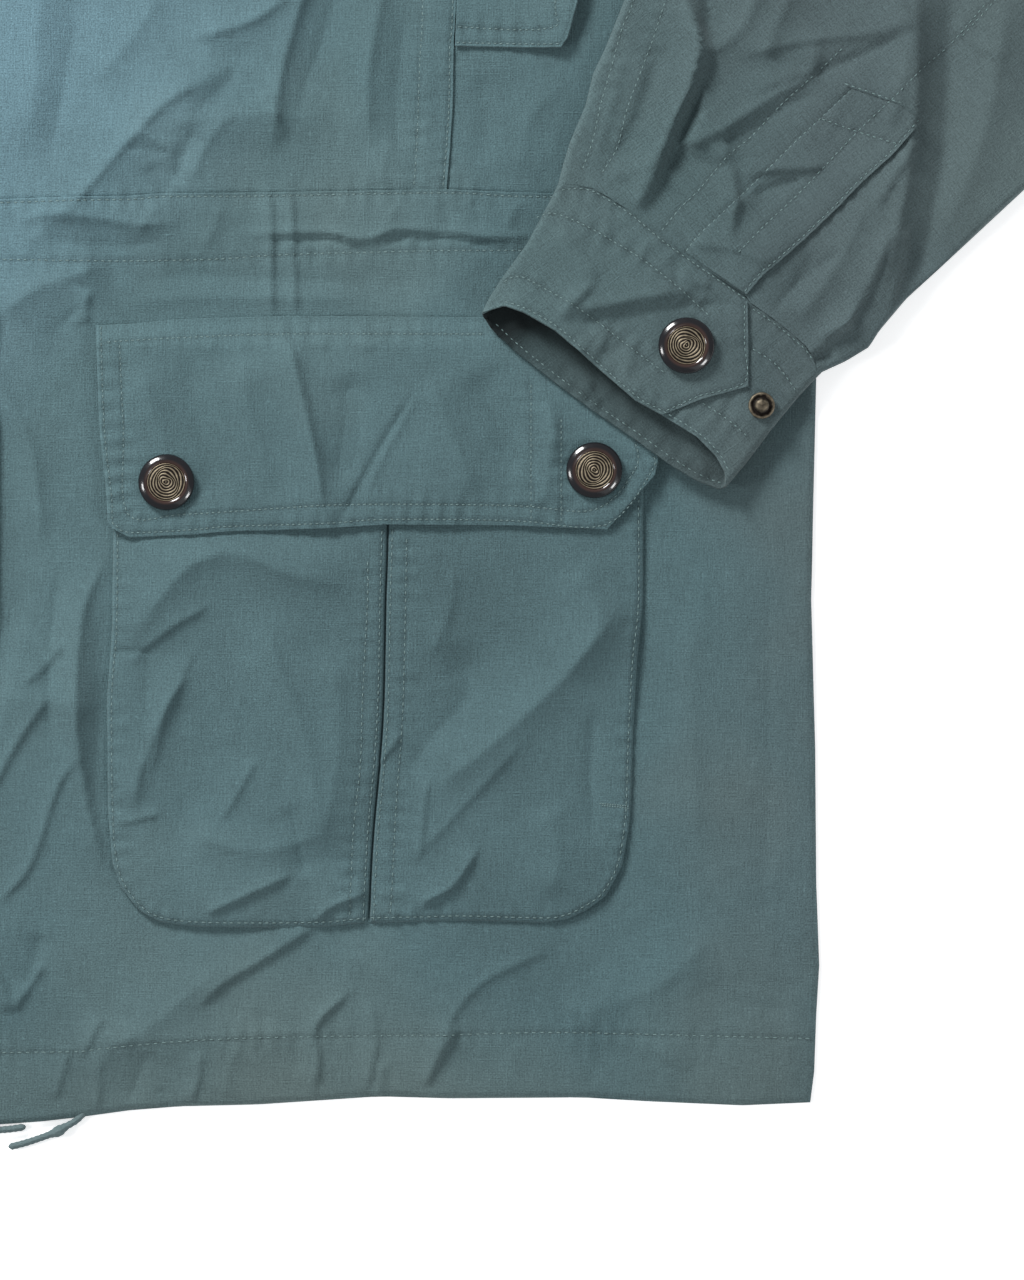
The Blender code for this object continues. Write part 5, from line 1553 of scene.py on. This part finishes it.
def turned(name, profile, marks, steps, material, slot, place, nodes, wander=0.0, tilt=(0.0, 0.0), seed=0):
    """A round piece: its profile spun once round at a place. Marks are kept on it for its material."""
    shape = bmesh.new()
    knots = [shape.verts.new((radius * MM, 0.0, height * MM)) for radius, height in profile]
    edges = [shape.edges.new(pair) for pair in zip(knots, knots[1:])]
    bmesh.ops.spin(shape, geom=knots + edges, cent=(0, 0, 0), axis=(0, 0, 1), angle=2 * math.pi, steps=steps,
                   use_merge=True)
    bmesh.ops.remove_doubles(shape, verts=shape.verts, dist=1e-6)
    bmesh.ops.recalc_face_normals(shape, faces=shape.faces)
    mesh = as_mesh(shape, name)
    spots = places_of(mesh) / MM
    radius, angle = np.hypot(spots[:, 0], spots[:, 1]), np.arctan2(spots[:, 1], spots[:, 0])
    heights = np.array([height for _, height in profile])
    radii = np.array([length for length, _ in profile])
    index = np.argmin(np.hypot(radius[:, None] - radii, spots[:, 2][:, None] - heights), axis=1)
    drift = wander * (np.sin(2 * angle + seed + radius * 0.7) + 0.6 * np.sin(3 * angle - 2 * seed + radius * 1.1))
    drift *= np.clip(radius / 2.0, 0, 1) * np.clip((radii.max() - radius) / 1.2, 0, 1)
    spots[:, 0] += drift * np.cos(angle)
    spots[:, 1] += drift * np.sin(angle)
    spots[:, 2] += tilt[0] * spots[:, 0] + tilt[1] * spots[:, 1]
    set_cut(mesh, spots[:, :2])
    mesh.attributes.new("rubbed", "FLOAT", "POINT").data.foreach_set("value", np.array(marks, float)[index])
    mesh.vertices.foreach_set("co", ((spots + np.array(place)) * MM).ravel())
    return add_piece(name, mesh, material, nodes)


SHELL = [(0.0, 0.0), (9.6, 0.0), (10.6, 0.3), (11.15, 0.9), (11.2, 1.5), (11.1, 2.0), (10.85, 2.4), (10.5, 2.68),
         (9.7, 3.08), (9.0, 3.42), (8.7, 3.48), (8.35, 3.36), (7.8, 3.2), (7.45, 2.9), (7.2, 2.6), (0.0, 2.6)]
RING_COUNT = 7


def disc_profile(points_per_ring):
    """A low dome with wavy rings: radius, height and how much of each point is rubbed bright."""
    shares = np.linspace(0.0, 1.0, RING_COUNT * points_per_ring + 1)
    ridge = 0.5 + 0.5 * np.cos(shares * RING_COUNT * 2 * math.pi)
    heights = 2.9 + 0.75 * (1 - shares ** 2) + 0.46 * ridge
    points = list(zip(shares * DISC_RADIUS, heights)) + [(DISC_RADIUS, 2.5)]
    return points, list(ridge ** 2) + [0.1]


def snap_cap(node, x, y, steps, seed):
    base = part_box(node)[0].z / MM
    marks = [radius / CAP_RADIUS for radius, _ in SHELL]
    turned(node + "_shell", SHELL, marks, steps, shell_black, "snap_cap", (x, y, base), [node])
    profile, bright = disc_profile(6 if steps > 40 else 4)
    turned(node + "_disc", profile, bright, steps, antique_brass, "brass", (x, y, base), [], 0.32,
           (0.02 * math.sin(seed), 0.02 * math.cos(seed)), seed)


STUD = [(0.0, 0.0), (5.0, 0.0), (5.3, 0.4), (5.2, 1.0), (4.7, 1.4), (4.1, 1.2), (3.6, 0.9), (2.8, 1.0), (2.5, 1.6),
        (2.9, 2.6), (2.7, 3.5), (2.0, 4.1), (1.0, 4.35), (0.0, 4.4)]
STUD_BRIGHT = [0.2, 0.2, 0.3, 0.5, 0.45, 0.2, 0.05, 0.0, 0.05, 0.15, 0.3, 0.4, 0.35, 0.3]
FLAP_CAPS = seen((168,483), (594,471))
CUFF_CAP, CUFF_STUD = seen((685,348), (760,407))
PLACKET_CAPS = (-345.0, -205.0, -50.0, 90.0, 230.0)
for side, prefix, steps in ((1.0, "left", 72), (-1.0, "right", 32)):
    for number, (x, y) in enumerate(FLAP_CAPS, start=1):
        snap_cap(f"{prefix}_pocket_cap_{number}", side * x, y, steps, number)
    snap_cap(prefix + "_cuff_cap", side * CUFF_CAP[0], CUFF_CAP[1], steps, 5)
    x, y = CUFF_STUD
    turned(prefix + "_cuff_stud", STUD, STUD_BRIGHT, steps // 2, antique_brass, "brass",
           (side * x, y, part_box(prefix + "_cuff_stud")[0].z / MM), [prefix + "_cuff_stud"])
for number, y in enumerate(PLACKET_CAPS, start=1):
    snap_cap(f"placket_cap_{number}", 0.0, y, 32, number + 8)
print("snap caps: 11 and two studs")

# %% [markdown]
# ## Stitches
#
# Every seam shows its thread, a shade paler than the cloth. One stitch is a small long bead, and a
# row sets them at their pitch along its line, each lying on the cloth with a little play.

# %% Stitches
STITCH_WIDE = 0.46
STITCH_HIGH = 0.34
STITCH_LIFT = 0.12
PLAY_ALONG, PLAY_TURN = 0.06, 0.05
HIDDEN_SCALE = 2.2
THREAD_DARK, THREAD_PALE = (0.166, 0.266, 0.270, 1.0), (0.290, 0.415, 0.410, 1.0)
thread_recipe = Recipe("thread")
twist = thread_recipe.noise(1500.0, 1500.0, 1.0)
thread = thread_recipe.finish(
    Base_Color=thread_recipe.blend(twist, THREAD_DARK, THREAD_PALE), Roughness=0.8,
    Normal=thread_recipe.bump(twist, 0.0002))
StitchRow = namedtuple("StitchRow", "pitch length points")


def stitch_row(shape, row, top, side, scale, rng):
    """Add one row's stitches to a mesh in the making."""
    line = curve(smooth(row.points, 5))
    pitch, long = row.pitch * scale, row.length * scale
    count = max(2, int(line.length / pitch))
    middle = (np.arange(count) + 0.5 + rng.uniform(-PLAY_ALONG, PLAY_ALONG, count)) / count
    near = 0.3 * long / line.length
    ahead = line(np.clip(middle + near, 0, 1)) - line(np.clip(middle - near, 0, 1))
    spots = line(middle)
    heights = top(spots[:, 0], spots[:, 1])
    slope = top(spots[:, 0] + ahead[:, 0], spots[:, 1] + ahead[:, 1]) - heights
    for (x, y), (dx, dy), height, rise in zip(spots, ahead, heights, slope):
        length = math.hypot(dx, dy)
        if not length:
            continue
        turn = Matrix.Rotation(math.atan2(dy, side * dx) + rng.uniform(-PLAY_TURN, PLAY_TURN), 4, "Z")
        pitch_up = Matrix.Rotation(-math.atan2(rise, length), 4, "Y")
        size = Matrix.Diagonal((long * MM, STITCH_WIDE * MM, STITCH_HIGH * MM, 1.0))
        place = Matrix.Translation(Vector((side * x, y, height + STITCH_LIFT)) * MM)
        bmesh.ops.create_icosphere(shape, subdivisions=1, radius=0.5, matrix=place @ turn @ pitch_up @ size)


def stitches(name, side, rows, top):
    """One object with all the stitches of a piece."""
    rng = np.random.default_rng(len(name) + len(rows))
    scale = 1.0 if side > 0 else HIDDEN_SCALE
    whole = bmesh.new()
    for row in rows:
        shape = bmesh.new()
        stitch_row(shape, row, top, side, scale, rng)
        part = as_mesh(shape, name)
        whole.from_mesh(part)
        bpy.data.meshes.remove(part)
    mesh = as_mesh(whole, name)
    mesh.uv_layers.new(name="cut")
    add_piece(name, mesh, thread, [])
    return len(mesh.polygons)


def seam(points, pitch=3.2, share=0.68):
    """One row of stitches, each as long as this share of its pitch."""
    return StitchRow(pitch, pitch * share, [tuple(point) for point in points])


def seams(pitch, rows):
    """Rows of stitches at one pitch."""
    return [seam(row, pitch) for row in rows]

BAR_TACK = [seam(row, 1.0, 0.98) for row in (seen((599,803), (612,804), (629,806)),
                                            seen((601,805), (613,806), (629,808)))]
STITCHED = [
    ("front_stitches", [seam(HEM_STITCHES)] + seams(2.8, [CASING_STITCHES, WAIST_STITCHES]),
     lower_height, "body_cloth"),
    ("lap_stitches", seams(2.6, [PRINCESS_EDGE_STITCHES, PRINCESS_FAR_STITCHES]), lapped, "body_cloth"),
    ("pocket_stitches", [seam(POCKET_STITCHES, 2.8)] + seams(2.9, PLEAT_ROWS + NEAR_PLEAT_ROWS) + BAR_TACK,
     pocket_height, "body_cloth"),
    ("flap_stitches", seams(2.3, FLAP_ROWS), flap_height, "body_cloth"),
    ("sleeve_stitches", seams(2.6, SLEEVE_ROWS), sleeve_top, "sleeve_cloth"),
    ("sleeve_placket_stitches", seams(2.6, PLACKET_ROWS + [SLEEVE_ROWS[4][:6]]), placket_top, "sleeve_cloth"),
    ("cuff_stitches", seams(2.4, UNDER_ROWS), cuff_top, "sleeve_cloth"),
    ("mouth_stitches", seams(2.6, [BACK_MOUTH_ROW]), lip_height, "sleeve_cloth"),
    ("lap_stitches_cuff", seams(2.4, CUFF_ROWS + LAP_ROWS), lap_top, "sleeve_cloth"),
    ("chest_flap_stitches", seams(2.4, [row[:4] for row in CHEST_FLAP_ROWS]), chest_flap_height, "body_cloth"),
]
total = 0
for side, prefix in ((1.0, "left"), (-1.0, "right")):
    for name, rows, top, slot in STITCHED:
        total += stitches(f"{prefix}_{name}", side, rows, top)
print("stitches:", total, "faces")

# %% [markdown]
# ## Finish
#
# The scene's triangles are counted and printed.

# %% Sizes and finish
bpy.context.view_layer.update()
triangles = sum(len(piece.data.loop_triangles) or 2 * len(piece.data.polygons)
                for piece in bpy.data.objects if piece.type == "MESH")
print("about", triangles, "triangles")
